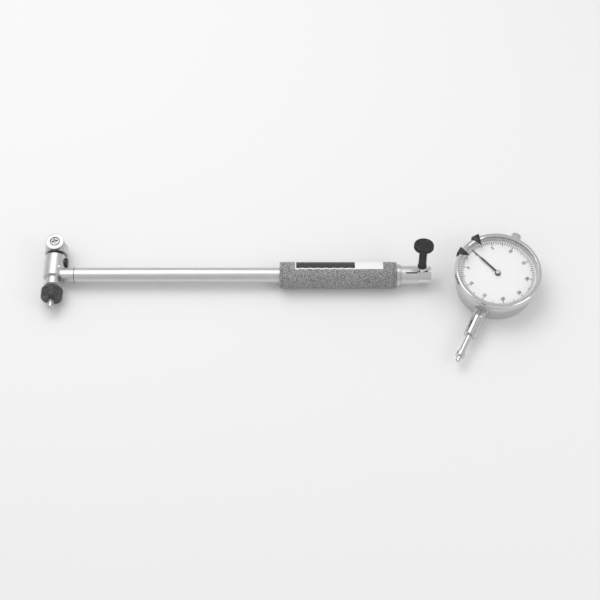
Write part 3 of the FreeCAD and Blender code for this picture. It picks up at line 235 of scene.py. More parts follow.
def coordinates(add, stretch=(1, 1, 1)):
    """Object coordinates, stretched so that grain can run along one axis."""
    source = add("ShaderNodeTexCoord")
    mapping = add("ShaderNodeMapping", [(source.outputs["Object"], "Vector")])
    mapping.inputs["Scale"].default_value = stretch
    return mapping.outputs["Vector"]


def noise(add, vector, scale, detail=4.0, roughness=0.55):
    texture = add("ShaderNodeTexNoise", [(vector, "Vector")])
    texture.inputs["Scale"].default_value = scale
    texture.inputs["Detail"].default_value = detail
    texture.inputs["Roughness"].default_value = roughness
    return texture.outputs["Fac"]


def spread(add, value, low_end, high_end):
    """Map a 0..1 texture value to a range."""
    ranged = add("ShaderNodeMapRange", [(value, "Value")])
    ranged.inputs["From Min"].default_value = 0.3
    ranged.inputs["From Max"].default_value = 0.7
    ranged.inputs["To Min"].default_value = low_end
    ranged.inputs["To Max"].default_value = high_end
    return ranged.outputs["Result"]


def blend_colours(add, value, first, second):
    mix = add("ShaderNodeMix", data_type="RGBA")
    mix.inputs["A"].default_value = (*first, 1)
    mix.inputs["B"].default_value = (*second, 1)
    mix.id_data.links.new(value, mix.inputs["Factor"])
    return mix.outputs["Result"]


def bump(add, value, strength, distance):
    relief = add("ShaderNodeBump", [(value, "Height")])
    relief.inputs["Strength"].default_value = strength
    relief.inputs["Distance"].default_value = distance
    return relief.outputs["Normal"]


def metal(name, colour, roughness, grain=(1, 1, 1), grain_scale=900.0, grain_depth=2e-6, wear=0.04):
    """Metal with fine machining grain along one axis, faint handling marks and a little colour drift."""
    material, tree, shader, add = node_material(name)
    vector = coordinates(add, grain)
    lines = noise(add, vector, grain_scale, 6.0, 0.7)
    clouds = noise(add, coordinates(add), 120.0, 3.0)
    darker = tuple(channel * (1 - wear) for channel in colour)
    tree.links.new(blend_colours(add, spread(add, clouds, 0, 1), darker, colour), shader.inputs["Base Color"])
    rough = add("ShaderNodeMath", [(spread(add, lines, -0.25, 0.25), 0), (spread(add, clouds, -0.1, 0.1), 1)],
                operation="ADD")
    scaled = add("ShaderNodeMath", [(rough.outputs[0], 0)], operation="MULTIPLY_ADD")
    scaled.inputs[1].default_value = roughness
    scaled.inputs[2].default_value = roughness
    tree.links.new(scaled.outputs[0], shader.inputs["Roughness"])
    tree.links.new(bump(add, lines, 0.5, grain_depth), shader.inputs["Normal"])
    shader.inputs["Metallic"].default_value = 1.0
    return material


def paint(name, colour, roughness, metallic=0.0, texture_scale=700.0, depth=4e-6, drift=1.25):
    """Painted or oxidised surface with a fine orange peel and slight variation."""
    material, tree, shader, add = node_material(name)
    vector = coordinates(add)
    fine = noise(add, vector, texture_scale, 5.0)
    clouds = noise(add, vector, 90.0, 3.0)
    lighter = tuple(min(1.0, channel * drift) for channel in colour)
    tree.links.new(blend_colours(add, spread(add, clouds, 0, 1), colour, lighter), shader.inputs["Base Color"])
    tree.links.new(spread(add, fine, roughness * 0.8, roughness * 1.2), shader.inputs["Roughness"])
    tree.links.new(bump(add, fine, 0.4, depth), shader.inputs["Normal"])
    shader.inputs["Metallic"].default_value = metallic
    return material


def wrinkle_paint(name, ridge_highlight_colour, valley_shade_colour):
    """Grey wrinkle coat: worm-like ridges half a millimetre wide, in relief, with painted shade in the valleys and a
    painted highlight on the ridge tops.
    """
    material, tree, shader, add = node_material(name)
    vector = coordinates(add)
    drift = add("ShaderNodeTexNoise", [(vector, "Vector")])
    drift.inputs["Scale"].default_value = 700.0
    drift.inputs["Detail"].default_value = 3.0
    shift = add("ShaderNodeVectorMath", [(drift.outputs["Color"], 0)], operation="SCALE")
    shift.inputs["Scale"].default_value = 1.1 * MM
    bent = add("ShaderNodeVectorMath", [(vector, 0), (shift.outputs[0], 1)], operation="ADD")
    cells = add("ShaderNodeTexVoronoi", [(bent.outputs[0], "Vector")], feature="DISTANCE_TO_EDGE")
    cells.inputs["Scale"].default_value = 1050.0
    ridges = add("ShaderNodeMapRange", [(cells.outputs["Distance"], "Value")], interpolation_type="SMOOTHSTEP")
    ridges.inputs["From Max"].default_value = 0.32
    speck = noise(add, vector, 2600.0, 3.0)
    height = add("ShaderNodeMath", [(ridges.outputs["Result"], 0), (speck, 1)], operation="MULTIPLY_ADD")
    height.inputs[2].default_value = 0.0
    # Painted shade and highlight: the colour runs from the dark valley colour to the light ridge colour with the
    # ridge height, so valleys are painted darker and ridge tops lighter, under a broad random mottle.
    shade = spread(add, noise(add, vector, 60.0, 3.0), 0.85, 1.0)
    relief_shading = add("ShaderNodeMath", [(ridges.outputs["Result"], 0), (shade, 1)], operation="MULTIPLY")
    tree.links.new(blend_colours(add, relief_shading.outputs[0], valley_shade_colour, ridge_highlight_colour), shader.inputs["Base Color"])
    shader.inputs["Roughness"].default_value = 0.42
    tree.links.new(bump(add, height.outputs[0], 0.9, 0.16 * MM), shader.inputs["Normal"])
    return material


def clear_glass(name):
    """Thin clear crystal: mostly straight through, with its reflection."""
    material, tree, shader, add = node_material(name)
    clouds = noise(add, coordinates(add), 60.0, 3.0)
    tree.links.new(spread(add, clouds, 0.0, 0.015), shader.inputs["Roughness"])
    shader.inputs["Base Color"].default_value = (0.97, 0.985, 0.985, 1)
    shader.inputs["IOR"].default_value = 1.45
    shader.inputs["Transmission Weight"].default_value = 1.0
    shader.inputs["Alpha"].default_value = 0.07
    return material


GROUND = metal("ground_steel", (0.66, 0.65, 0.66), 0.38, (0.06, 1, 1), 1500.0, 3e-6)
TURNED = metal("turned_steel", (0.66, 0.65, 0.66), 0.40, (1, 0.08, 1), 1500.0, 3e-6)
HARD = metal("hard_tip", (0.55, 0.545, 0.55), 0.36, (1, 1, 1), 1800.0, 2e-6)
SCREW = metal("screw_steel", (0.42, 0.41, 0.41), 0.34, (1, 1, 0.2), 1400.0, 3e-6)
CHROME = metal("bright_chrome", (0.66, 0.66, 0.67), 0.09, (1, 1, 1), 400.0, 5e-7, 0.02)
SATIN_CHROME = metal("satin_chrome", (0.72, 0.72, 0.73), 0.20, (1, 1, 0.05), 1300.0, 2e-6, 0.03)
SPINDLE = metal("spindle_steel", (0.70, 0.69, 0.69), 0.14, (1, 1, 1), 1600.0, 1e-6)
SPRING = metal("spring_steel", (0.45, 0.44, 0.44), 0.3)
RING = metal("ring_metal", (0.60, 0.60, 0.61), 0.3, (0.1, 1, 1))
BRASS = metal("movement_brass", (0.75, 0.56, 0.26), 0.25)
OXIDE = paint("black_oxide", (0.035, 0.034, 0.036), 0.34, 0.75)
KNURLED = paint("knurled_oxide", (0.085, 0.083, 0.087), 0.26, 0.85)
KNOB = paint("black_knob", (0.024, 0.023, 0.025), 0.26, 0.35)
# The first colour is a painted highlight on the wrinkle tops, the second painted shade in the wrinkle valleys.
GRIP = wrinkle_paint("grip_coat", (0.52, 0.505, 0.51), (0.14, 0.135, 0.14))
ENAMEL = paint("face_enamel", (0.90, 0.90, 0.90), 0.45, 0.0, 500.0, 1e-6, 1.02)
INK = paint("dial_ink", (0.025, 0.025, 0.03), 0.5, 0.0, 900.0, 1e-6)
POINTER = paint("pointer_black", (0.02, 0.02, 0.025), 0.3, 0.3)
LABEL_BLACK = paint("label_black", (0.03, 0.03, 0.03), 0.35, 0.0, 500.0, 2e-6)
LABEL_WHITE = paint("label_white", (0.86, 0.86, 0.86), 0.4, 0.0, 500.0, 2e-6, 1.04)
CRYSTAL = clear_glass("crystal_clear")

NODE_MATERIALS = {
    "ground_steel": GROUND, "hard_tip": HARD, "screw_steel": SCREW, "spring_steel": SPRING,
    "black_oxide": OXIDE, "black_knob": KNOB, "grip_coat": GRIP, "ring_metal": RING,
    "bright_chrome": CHROME, "spindle_steel": SPINDLE, "movement_brass": BRASS,
    "face_enamel": ENAMEL, "pointer_black": POINTER, "crystal_clear": CRYSTAL,
}
SLOT_OF = {part["node"]: part["material_slot"] for part in record["subparts"]}


def dress_nodes():
    """Every solid gets the node material of its slot, except the five turned pieces of the head, which get turned
    steel.
    """
    turned_across = {"head_body", "bridge", "contact", "bridge_pin_left", "bridge_pin_right"}
    for name, item in frame["nodes"].items():
        material = TURNED if name in turned_across else NODE_MATERIALS[SLOT_OF[name]]
        item.data.materials.clear()
        item.data.materials.append(material)


# ---------------------------------------------------------------- stage, light and camera

def flat_sheet(name, width, depth, material, matrix=Matrix()):
    bm = bmesh.new()
    half_width = width / 2
    half_depth = depth / 2
    corners = [(-half_width, -half_depth), (half_width, -half_depth), (half_width, half_depth),
               (-half_width, half_depth)]
    bm.faces.new([bm.verts.new((across, up, 0)) for across, up in corners])
    piece = finish_mesh(name, bm, material, matrix)
    return piece


def light(name, place_at, aim, width, depth, power):
    lamp = bpy.data.lights.new(name, "AREA")
    lamp.shape = "RECTANGLE"
    lamp.size = width
    lamp.size_y = depth
    lamp.energy = power
    item = bpy.data.objects.new(name, lamp)
    bpy.context.scene.collection.objects.link(item)
    item.location = place_at
    item.rotation_euler = (Vector(aim) - Vector(place_at)).to_track_quat("-Z", "Y").to_euler()
    return item


def studio():
    """Pale floor, a soft sky that is darker towards the horizon, and soft lamps from above."""
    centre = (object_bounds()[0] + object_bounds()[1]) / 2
    floor_material, tree, shader, add = node_material("pale_floor")
    grain = noise(add, coordinates(add), 900.0, 4.0)
    tree.links.new(blend_colours(add, grain, (0.86, 0.86, 0.86), (0.90, 0.90, 0.90)), shader.inputs["Base Color"])
    shader.inputs["Roughness"].default_value = 0.9
    shader.inputs["Specular IOR Level"].default_value = 0.1
    flat_sheet("floor", 1.3, 1.3, floor_material, Matrix.Translation((centre.x, centre.y, 0)))

    world = bpy.data.worlds.new("sky")
    bpy.context.scene.world = world
    world.use_nodes = True
    tree = world.node_tree
    background = tree.nodes["Background"]
    source = tree.nodes.new("ShaderNodeTexCoord")
    split = tree.nodes.new("ShaderNodeSeparateXYZ")
    ramp = tree.nodes.new("ShaderNodeValToRGB")
    tree.links.new(source.outputs["Generated"], split.inputs[0])
    tree.links.new(split.outputs["Z"], ramp.inputs["Fac"])
    tree.links.new(ramp.outputs["Color"], background.inputs["Color"])
    ramp.color_ramp.elements[0].position = 0.0
    ramp.color_ramp.elements[0].color = (0.84, 0.84, 0.845, 1)
    ramp.color_ramp.elements[1].position = 0.75
    ramp.color_ramp.elements[1].color = (1.0, 1.0, 1.0, 1)
    background.inputs["Strength"].default_value = 0.68

    light("key_lamp", centre + Vector((-0.25, 0.30, 0.75)), centre, 0.8, 0.6, 3.1)
    light("side_lamp", centre + Vector((0.6, -0.25, 0.5)), centre, 0.35, 0.35, 0.7)


def camera():
    """Camera at the photograph's height angle, level with the tube, far enough for its mild perspective."""
    elevation = math.radians(61.0)
    distance = 0.76
    target = head + Vector((154.8 * MM, -13.2 * MM, -8.35 * MM))
    item = bpy.data.objects.new("photo_camera", bpy.data.cameras.new("photo_camera"))
    bpy.context.scene.collection.objects.link(item)
    item.data.sensor_width = 36.0
    item.data.lens = 72.4
    item.data.clip_start = 0.01
    item.location = target + distance * Vector((0, -math.cos(elevation), math.sin(elevation)))
    item.rotation_euler = (math.radians(90.0) - elevation, 0, 0)
    bpy.context.scene.camera = item


# ---------------------------------------------------------------- measuring head

def knurl(turns_across, pitch_lines, depth):
    """Diamond knurl: two sets of V grooves that cross, as a change of radius."""
    def change(angle, _, up):
        rising = (angle / TURN * turns_across + up / pitch_lines) % 1.0
        falling = (angle / TURN * turns_across - up / pitch_lines) % 1.0
        return -depth * max(0.0, 1 - 2.6 * min(rising, 1 - rising, falling, 1 - falling))
    return change


def straight_knurl(count, depth):
    def change(angle, _, up):
        return -depth * abs(math.sin(angle * count / 2))
    return change


def lock_nut():
    start = high("lock_nut").y
    length = size("lock_nut").y
    outer = size("lock_nut").x / 2
    hole = size("anvil").x / 2
    bore = 2.1 * MM
    band_edge = 1.0 * MM
    profile = dense(rounded([
        (bore, 0.2 * MM, 0), (outer - 0.9 * MM, 0, 0.1 * MM), (outer, band_edge, 0.15 * MM),
        (outer, length - band_edge, 0.15 * MM), (outer - 0.9 * MM, length, 0.15 * MM), (hole, length, 0.2 * MM),
        (hole - 0.4 * MM, length - 0.5 * MM, 0.1 * MM), (bore, length - 0.6 * MM, 0)]), 0.22 * MM)
    pattern = knurl(30, 1.4 * MM, 0.34 * MM)

    def wave(angle, across, up):
        fade = max(0.0, min(1.0, (up - band_edge * 0.7) / (0.4 * MM), (length - band_edge * 0.7 - up) / (0.4 * MM)))
        return pattern(angle, across, up) * fade if across > outer - 0.3 * MM else 0.0

    piece = lathe("lock_nut_knurled", profile, KNURLED, place(Vector((head.x, start, head.z)), -Y), 272, wave, 24)
    ride(piece, "lock_nut", "black_oxide", "lock_nut")


def nose_thread():
    """Fine thread on the nose, seen between the head and the lock nut."""
    crest = 5.06 * MM
    start = high("lock_nut").y + 0.1 * MM
    pitch = 0.5 * MM
    turns = 4
    corners = [(crest - 0.35 * MM, 0, 0)]
    for number in range(turns):
        corners += [(crest - 0.02 * MM, number * pitch, 0), (crest + 0.2 * MM, (number + 0.5) * pitch, 0)]
    corners += [(crest - 0.02 * MM, turns * pitch, 0), (crest - 0.35 * MM, turns * pitch, 0)]
    piece = lathe("nose_thread", rounded(corners), SCREW, place(Vector((head.x, start, head.z)), Y), 96, None, 20)
    ride(piece, "frame", "screw_steel")


def seam_shadow_ring():
    """Dark ring at the seam where the tube enters its socket: painted shade standing in for the shadow in the seam
    gap.
    """
    seam = low("tube").x - 0.3 * MM
    radius = size("tube").z / 2
    profile = rounded([
        (radius - 0.2 * MM, 0, 0), (radius + 0.22 * MM, 0, 0.08 * MM), (radius + 0.22 * MM, 0.28 * MM, 0.08 * MM),
        (radius - 0.2 * MM, 0.28 * MM, 0)])
    # Black ring as painted shade: it darkens the seam, where there is only the gap's shadow.
    piece = lathe("socket_seam_shadow_ring", profile, OXIDE, place(Vector((seam, tube_axis.y, tube_axis.z)), X))
    ride(piece, "frame", "black_oxide")


def grip_sleeve():
    """Grip with eased ends and a fine groove just inside each end."""
    radius = size("grip").z / 2 - 0.01 * MM
    bore = size("tube").z / 2 + 0.01 * MM
    length = size("grip").x
    groove = 1.5 * MM
    width = 0.45 * MM
    depth = 0.4 * MM
    ends = [(bore, 0, 0), (radius - 0.1 * MM, 0, 0.5 * MM), (radius - 0.1 * MM, groove, 0.08 * MM),
            (radius - depth, groove, 0), (radius - depth, groove + width, 0), (radius, groove + width, 0.2 * MM)]
    far = [(across, length - up, rounding) for across, up, rounding in reversed(ends)]
    piece = lathe("grip_sleeve", rounded(ends + far), GRIP,
                  place(Vector((low("grip").x, tube_axis.y, tube_axis.z)), X), 128)
    ride(piece, "frame", "grip_coat", "grip")


# ---------------------------------------------------------------- indicator

def dial_matrix(height, turn=0.0):
    return Matrix.Translation((0, 0, height)) @ DIAL @ Matrix.Rotation(turn, 4, "Z")


def bar(bm, across, start, end, turn, width, foot, top):
    """Thin raised bar along a radius: from start to end, shifted across, turned about the dial's centre."""
    spin = Matrix.Rotation(turn, 4, "Z")
    half = width / 2
    corners = [(start, across - half), (end, across - half), (end, across + half), (start, across + half)]
    low_ring = [bm.verts.new(spin @ Vector((*corner, foot))) for corner in corners]
    high_ring = [bm.verts.new(spin @ Vector((*corner, top))) for corner in corners]
    bm.faces.new(high_ring)
    for index in range(4):
        following = (index + 1) % 4
        bm.faces.new([low_ring[index], low_ring[following], high_ring[following], high_ring[index]])


def zero_turn():
    """The face's own angle at its zero, which lies under the pointer."""
    needle_box = (low("needle"), high("needle"))
    far = Vector((needle_box[0].x, needle_box[1].y, 0))
    return math.atan2(far.dot(dial_up), far.dot(dial_right))


def dial_print():
    """A hundred graduations and ten numbers, a hair above the enamel."""
    foot = high("dial_face").z
    top = foot + 0.03 * MM
    edge = size("dial_face").x / 2 - 1.2 * MM
    zero = zero_turn()
    bm = bmesh.new()
    for number in range(100):
        length = 2.9 * MM if number % 10 == 0 else 2.4 * MM if number % 5 == 0 else 1.7 * MM
        width = 0.45 * MM if number % 5 == 0 else 0.36 * MM
        bar(bm, 0, edge - length, edge, zero - TURN * number / 100, width, foot, top)
    ticks = finish_mesh("dial_graduations", bm, INK, DIAL)
    ride(ticks, "bezel", "pointer_black")
    for number in range(10):
        turn = zero - TURN * number / 10
        curve = bpy.data.curves.new(f"dial_number_{number}", "FONT")
        curve.body = str(5 * min(number, 10 - number))
        curve.size = 2.6 * MM
        curve.align_x = "CENTER"
        curve.align_y = "CENTER"
        curve.extrude = 0.015 * MM
        curve.offset = 0.12 * MM
        text = bpy.data.objects.new(f"dial_number_{number}", curve)
        bpy.context.scene.collection.objects.link(text)
        mesh = bpy.data.meshes.new_from_object(text)
        bpy.data.objects.remove(text)
        centre = Matrix.Rotation(turn, 4, "Z") @ Vector((edge - 4.6 * MM, 0, foot + 0.016 * MM))
        mesh.transform(DIAL @ Matrix.Translation(centre) @ Matrix.Rotation(zero - math.pi / 2, 4, "Z"))
        mesh.materials.clear()
        mesh.materials.append(INK)
        piece = bpy.data.objects.new(f"dial_number_{number}_print", mesh)
        bpy.context.scene.collection.objects.link(piece)
        ride(piece, "bezel", "pointer_black")


def pointer():
    """Tapered pointer with a broad dark inner part, a fine tip and a bright hub in a dark ring."""
    foot = low("needle").z
    length = max(Vector((corner.x, corner.y)).length
                 for corner in (Vector((low("needle").x, high("needle").y)),)) - 0.1 * MM
    half = 0.62 * MM
    fine = 0.18 * MM
    shoulder = length * 0.62
    outline = [(-0.4 * MM, -half * 0.9), (shoulder, -half), (shoulder + 1.6 * MM, -fine * 1.6),
               (length - 0.4 * MM, -fine), (length, 0), (length - 0.4 * MM, fine),
               (shoulder + 1.6 * MM, fine * 1.6), (shoulder, half), (-0.4 * MM, half * 0.9)]
    blade = slab("pointer_blade", outline, 0.22 * MM, POINTER, dial_matrix(foot + 0.02 * MM, zero_turn()),
                 0.04 * MM)
    ride(blade, "pointer", "pointer_black", "needle")
    hub = lathe("pointer_hub", rounded([
        (0, 0, 0), (1.6 * MM, 0, 0), (1.6 * MM, 0.5 * MM, 0.12 * MM), (1.35 * MM, 0.6 * MM, 0.05 * MM),
        (0.0, 0.6 * MM, 0)]), POINTER, dial_matrix(foot))
    ride(hub, "pointer", "pointer_black")
    cap = lathe("pointer_cap", rounded([
        (0, 0.5 * MM, 0), (1.3 * MM, 0.5 * MM, 0), (1.3 * MM, 0.8 * MM, 0.1 * MM), (0.5 * MM, 0.86 * MM, 0.05 * MM),
        (0.42 * MM, 0.75 * MM, 0.03 * MM), (0, 0.75 * MM, 0)]), RING, dial_matrix(foot))
    ride(cap, "pointer", "ring_metal")


def bezel_ring():
    """Bezel with a fine edge bead, a sloping crown, a polished inner wall and a plain skirt line."""
    outer = size("bezel").x / 2
    bottom = low("bezel").z
    top = high("bezel").z
    crystal_edge = size("crystal").x / 2
    seat = high("crystal").z
    skirt = size("case").x / 2 + 0.12 * MM
    inside = size("dial_face").x / 2 + 0.1 * MM
    lip = crystal_edge - 0.9 * MM
    profile = rounded([
        (skirt, bottom + 0.1 * MM, 0.1 * MM), (outer - 0.9 * MM, bottom + 0.1 * MM, 0.25 * MM),
        (outer - 0.45 * MM, bottom + 0.9 * MM, 0.2 * MM), (outer - 0.45 * MM, bottom + 1.6 * MM, 0.15 * MM),
        (outer, bottom + 1.9 * MM, 0.2 * MM), (outer, top - 2.4 * MM, 0.5 * MM),
        (outer - 0.55 * MM, top - 1.5 * MM, 0.3 * MM), (outer - 0.75 * MM, top - 0.25 * MM, 0.3 * MM),
        (outer - 1.25 * MM, top, 0.25 * MM), (lip + 0.75 * MM, top - 0.05 * MM, 0.25 * MM),
        (lip + 0.35 * MM, top - 0.35 * MM, 0.12 * MM), (lip, seat + 0.02 * MM, 0.1 * MM),
        (crystal_edge, seat + 0.02 * MM, 0), (crystal_edge, low("crystal").z, 0),
        (inside, low("crystal").z, 0.15 * MM), (inside, high("dial_face").z - 0.4 * MM, 0),
        (skirt, high("dial_face").z - 0.8 * MM, 0)], 5)
    piece = lathe("bezel_ring", profile, CHROME, DIAL.copy(), 192, None, 30)
    ride(piece, "bezel", "bright_chrome", "bezel")


def crystal_disc():
    """Slightly domed clear crystal."""
    edge = size("crystal").x / 2 - 0.02 * MM
    foot = low("crystal").z
    top = high("crystal").z
    profile = rounded([
        (0, foot, 0), (edge, foot, 0.1 * MM), (edge, top - 0.35 * MM, 0.1 * MM), (edge * 0.8, top - 0.12 * MM, 0),
        (edge * 0.5, top - 0.04 * MM, 0), (0, top, 0)])
    piece = lathe("crystal_disc", profile, CRYSTAL, DIAL.copy(), 128, None, 50)
    ride(piece, "bezel", "crystal_clear", "crystal")


def limit_clip(name, number):
    """Folded spring clip with a pointer that tapers over the bezel."""
    node = f"limit_marker_{name}"
    joint_turn = middle(node)
    turn = math.atan2(joint_turn.dot(dial_up), joint_turn.dot(dial_right))
    foot = high("bezel").z + 0.1 * MM
    rim = size("bezel").x / 2
    outer = rim + 0.68 * MM
    half = 2.7 * MM
    outline = [(rim - 6.9 * MM, -0.12 * MM), (rim - 1.6 * MM, -half * 0.78), (outer - 0.5 * MM, -half),
               (outer, -half * 0.9), (outer, half * 0.9), (outer - 0.5 * MM, half),
               (rim - 1.6 * MM, half * 0.78), (rim - 6.9 * MM, 0.12 * MM)]
    top = slab(f"limit_clip_{number}_pointer", outline, 0.58 * MM, OXIDE, dial_matrix(foot, turn), 0.12 * MM)
    ride(top, f"marker_{name}", "black_oxide", node)
    leg = [(rim + 0.12 * MM, -half * 0.86), (outer, -half * 0.86), (outer, half * 0.86),
           (rim + 0.12 * MM, half * 0.86)]
    side = slab(f"limit_clip_{number}_leg", leg, 4.7 * MM, OXIDE, dial_matrix(foot - 4.3 * MM, turn), 0.1 * MM)
    ride(side, f"marker_{name}", "black_oxide")


# ---------------------------------------------------------------- clamp, screws and knobs

def carved(name, blank, cutter, material):
    """The blank with the cutter's shape taken out of it; both are used up."""
    modifier = blank.modifiers.new("carve", "BOOLEAN")
    modifier.object = cutter
    modifier.operation = "DIFFERENCE"
    modifier.solver = "EXACT"
    bpy.context.view_layer.update()
    mesh = bpy.data.meshes.new_from_object(blank.evaluated_get(bpy.context.evaluated_depsgraph_get()))
    bpy.data.objects.remove(blank)
    bpy.data.objects.remove(cutter)
    mesh.materials.clear()
    mesh.materials.append(material)
    mesh.shade_smooth()
    mesh.set_sharp_from_angle(angle=math.radians(30))
    piece = bpy.data.objects.new(name, mesh)
    bpy.context.scene.collection.objects.link(piece)
    return piece


def cross_cutter(length, width, depth, matrix):
    bm = bmesh.new()
    half, thin = length / 2, width / 2
    outline = [(half, -thin), (half, thin), (thin, thin), (thin, half), (-thin, half), (-thin, thin),
               (-half, thin), (-half, -thin), (-thin, -thin), (-thin, -half), (thin, -half), (thin, -thin)]
    tapered = [[bm.verts.new((across * share, up * share, height)) for across, up in outline]
               for height, share in ((-depth, 0.55), (0, 1.0), (depth, 1.0))]
    bm.faces.new(tapered[0])
    bm.faces.new(tapered[-1])
    for below, above in zip(tapered, tapered[1:]):
        for index in range(len(outline)):
            following = (index + 1) % len(outline)
            bm.faces.new([below[index], below[following], above[following], above[index]])
    return finish_mesh("cutter", bm, SCREW, matrix)


def roller_and_screw(side, outward):
    """Roller with eased rims and a countersunk seat, and its cross-recessed screw."""
    node = f"roller_{side}"
    centre = middle(node)
    outer = size(node).x / 2
    thickness = size(node).z
    face = high(node).z if outward.z > 0 else low(node).z
    base = Vector((centre.x, centre.y, face)) - outward * thickness
    bore = 1.56 * MM
    seat = 3.1 * MM
    floor = 0.8 * MM
    profile = rounded([
        (bore, 0, 0), (outer, 0, 0.25 * MM), (outer, thickness, 0.32 * MM), (seat + 0.15 * MM, thickness, 0.08 * MM),
        (seat, thickness - 0.2 * MM, 0.05 * MM), (seat, floor, 0), (bore, floor, 0)])
    ride(lathe(f"roller_{side}_disc", profile, HARD, place(base, outward), 96), node, "hard_tip", node)
    screw = f"roller_screw_{side}"
    box_low, box_high = low(screw), high(screw)
    foot = box_low.z if outward.z > 0 else box_high.z
    length = size(screw).z
    under = length - 0.85 * MM
    radius = 2.82 * MM
    profile = rounded([
        (0, 0, 0), (1.0 * MM, 0, 0.15 * MM), (1.0 * MM, 3.0 * MM, 0), (1.5 * MM, 3.0 * MM, 0.05 * MM),
        (1.5 * MM, under, 0), (radius, under, 0.05 * MM), (radius, length, 0.35 * MM), (0, length, 0)])
    seat_matrix = place(Vector((centre.x, centre.y, foot)), outward)
    blank = lathe("blank", profile, SCREW, seat_matrix, 72)
    cutter = cross_cutter(3.9 * MM, 1.05 * MM, 1.2 * MM, seat_matrix @ Matrix.Translation((0, 0, length))
                          @ Matrix.Rotation(math.radians(20), 4, "Z"))
    ride(carved(f"roller_{side}_cross_screw", blank, cutter, SCREW), "bridge", "screw_steel", screw)


def knob_screw():
    """Clamp screw: thread, waisted neck with a collar and a knurled round knob with a dished top."""
    radius = size("clamp_screw").x / 2
    lean = math.atan2(clamp_out.y, clamp_out.z)
    top = (high("clamp_screw").z - clamp_root.z - radius * math.sin(lean)) / math.cos(lean)
    thickness = 3.5 * MM
    under = top - thickness
    root = (low("clamp_screw").z - clamp_root.z) / math.cos(lean) + 1.7 * MM * math.tan(lean)
    seat = under - 15.0 * MM
    profile = dense(rounded([
        (0, root, 0), (1.7 * MM, root, 0), (1.7 * MM, seat, 0), (2.88 * MM, seat, 0.15 * MM),
        (2.88 * MM, seat + 1.2 * MM, 0.2 * MM), (2.55 * MM, seat + 1.9 * MM, 0.6 * MM),
        (2.45 * MM, under - 2.2 * MM, 1.2 * MM), (3.7 * MM, under, 0.3 * MM),
        (radius - 0.6 * MM, under, 0.2 * MM), (radius, under + 0.55 * MM, 0.15 * MM),
        (radius, top - 0.55 * MM, 0.15 * MM), (radius - 0.6 * MM, top, 0.25 * MM),
        (radius - 1.4 * MM, top, 0.25 * MM), (radius - 2.0 * MM, top - 0.6 * MM, 0.4 * MM),
        (0, top - 0.6 * MM, 0)]), 0.5 * MM)
    ribs = straight_knurl(44, 0.28 * MM)

    def wave(angle, across, up):
        edge = across > radius - 0.35 * MM and under + 0.4 * MM < up < top - 0.4 * MM
        return ribs(angle, across, up) if edge else 0.0

    piece = lathe("clamp_knob_screw", profile, KNOB, place(clamp_root, clamp_out), 264, wave, 32)
    ride(piece, "clamp_screw", "black_knob", "clamp_screw")


def bezel_lock_knob():
    """Small knurled screw in the case's side."""
    joint = joints["bezel_lock_turn"]
    axis = Vector(joint["axis"]).normalized()
    root = Vector(joint["pos_m"])
    radius = size("bezel_lock_screw").z / 2
    top = (high("bezel_lock_screw").x - root.x - radius * axis.y) / axis.x
    thread = 1.2 * MM
    bottom = (low("bezel_lock_screw").x - root.x + thread * axis.y) / axis.x
    under = 1.3 * MM
    profile = dense(rounded([
        (0, bottom, 0), (thread, bottom, 0.15 * MM), (thread, 0.5 * MM, 0), (1.7 * MM, 0.5 * MM, 0.1 * MM),
        (1.7 * MM, under, 0), (radius - 0.3 * MM, under, 0.1 * MM), (radius, under + 0.35 * MM, 0.1 * MM),
        (radius, top - 0.35 * MM, 0.1 * MM), (radius - 0.35 * MM, top, 0.15 * MM),
        (0, top, 0)]), 0.3 * MM)
    ribs = straight_knurl(30, 0.2 * MM)

    def wave(angle, across, up):
        return ribs(angle, across, up) if across > radius - 0.25 * MM and under < up < top else 0.0

    piece = lathe("bezel_lock_knob", profile, SATIN_CHROME, place(root, axis), 180, wave, 30)
    ride(piece, "bezel_lock", "bright_chrome", "bezel_lock_screw")


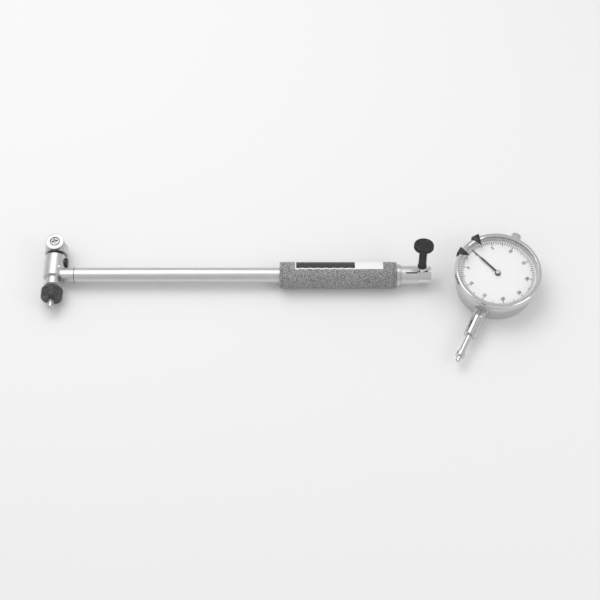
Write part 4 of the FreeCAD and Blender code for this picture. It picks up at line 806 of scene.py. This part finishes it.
def label_plates():
    """Two bare plates stuck round the top of the grip: a black one and a white one beyond it."""
    axis_y, axis_z = tube_axis.y, tube_axis.z
    radius = size("grip").z / 2
    start = low("grip").x

    def plate(name, first, last, low_turn, high_turn, lift, material, slot, border=0.0):
        bm = bmesh.new()
        along_steps, round_steps = 36, 12
        grids = []
        for level in (radius - 0.02 * MM, radius + lift):
            grid = []
            for index in range(along_steps + 1):
                row = []
                for step in range(round_steps + 1):
                    edge = border * (math.sin(index * 1.3) * 0.5 if step in (0, round_steps) else 0.0)
                    turn = math.radians(low_turn + (high_turn - low_turn) * step / round_steps)
                    turn += edge / radius
                    across = start + first + (last - first) * index / along_steps
                    row.append(bm.verts.new((across, axis_y + level * math.cos(turn),
                                             axis_z + level * math.sin(turn))))
                grid.append(row)
            grids.append(grid)
        for grid in grids:
            for index in range(along_steps):
                for step in range(round_steps):
                    bm.faces.new([grid[index][step], grid[index + 1][step], grid[index + 1][step + 1],
                                  grid[index][step + 1]])
        rim = [(0, step) for step in range(round_steps)] + [(index, round_steps) for index in range(along_steps)]
        rim += [(along_steps, step) for step in range(round_steps, 0, -1)]
        rim += [(index, 0) for index in range(along_steps, 0, -1)]
        for number, (index, step) in enumerate(rim):
            next_index, next_step = rim[(number + 1) % len(rim)]
            bm.faces.new([grids[0][index][step], grids[0][next_index][next_step],
                          grids[1][next_index][next_step], grids[1][index][step]])
        ride(finish_mesh(name, bm, material), "frame", slot)

    plate("label_white_edge", 9.6 * MM, 47.6 * MM, 37.0, 93.0, 0.03 * MM, LABEL_WHITE, "face_enamel", 0.5 * MM)
    plate("label_black_field", 10.3 * MM, 47.0 * MM, 42.0, 88.0, 0.05 * MM, LABEL_BLACK, "black_oxide", 0.35 * MM)
    plate("label_white_field", 47.0 * MM, 64.6 * MM, 37.0, 93.0, 0.05 * MM, LABEL_WHITE, "face_enamel")


dress_nodes()
studio()
camera()
lock_nut()
roller_and_screw("upper", Z)
roller_and_screw("lower", -Z)
nose_thread()
seam_shadow_ring()
grip_sleeve()
label_plates()
knob_screw()
bezel_lock_knob()
dial_print()
pointer()
bezel_ring()
crystal_disc()
limit_clip("first", 1)
limit_clip("second", 2)

bpy.context.scene.view_settings.view_transform = "Standard"
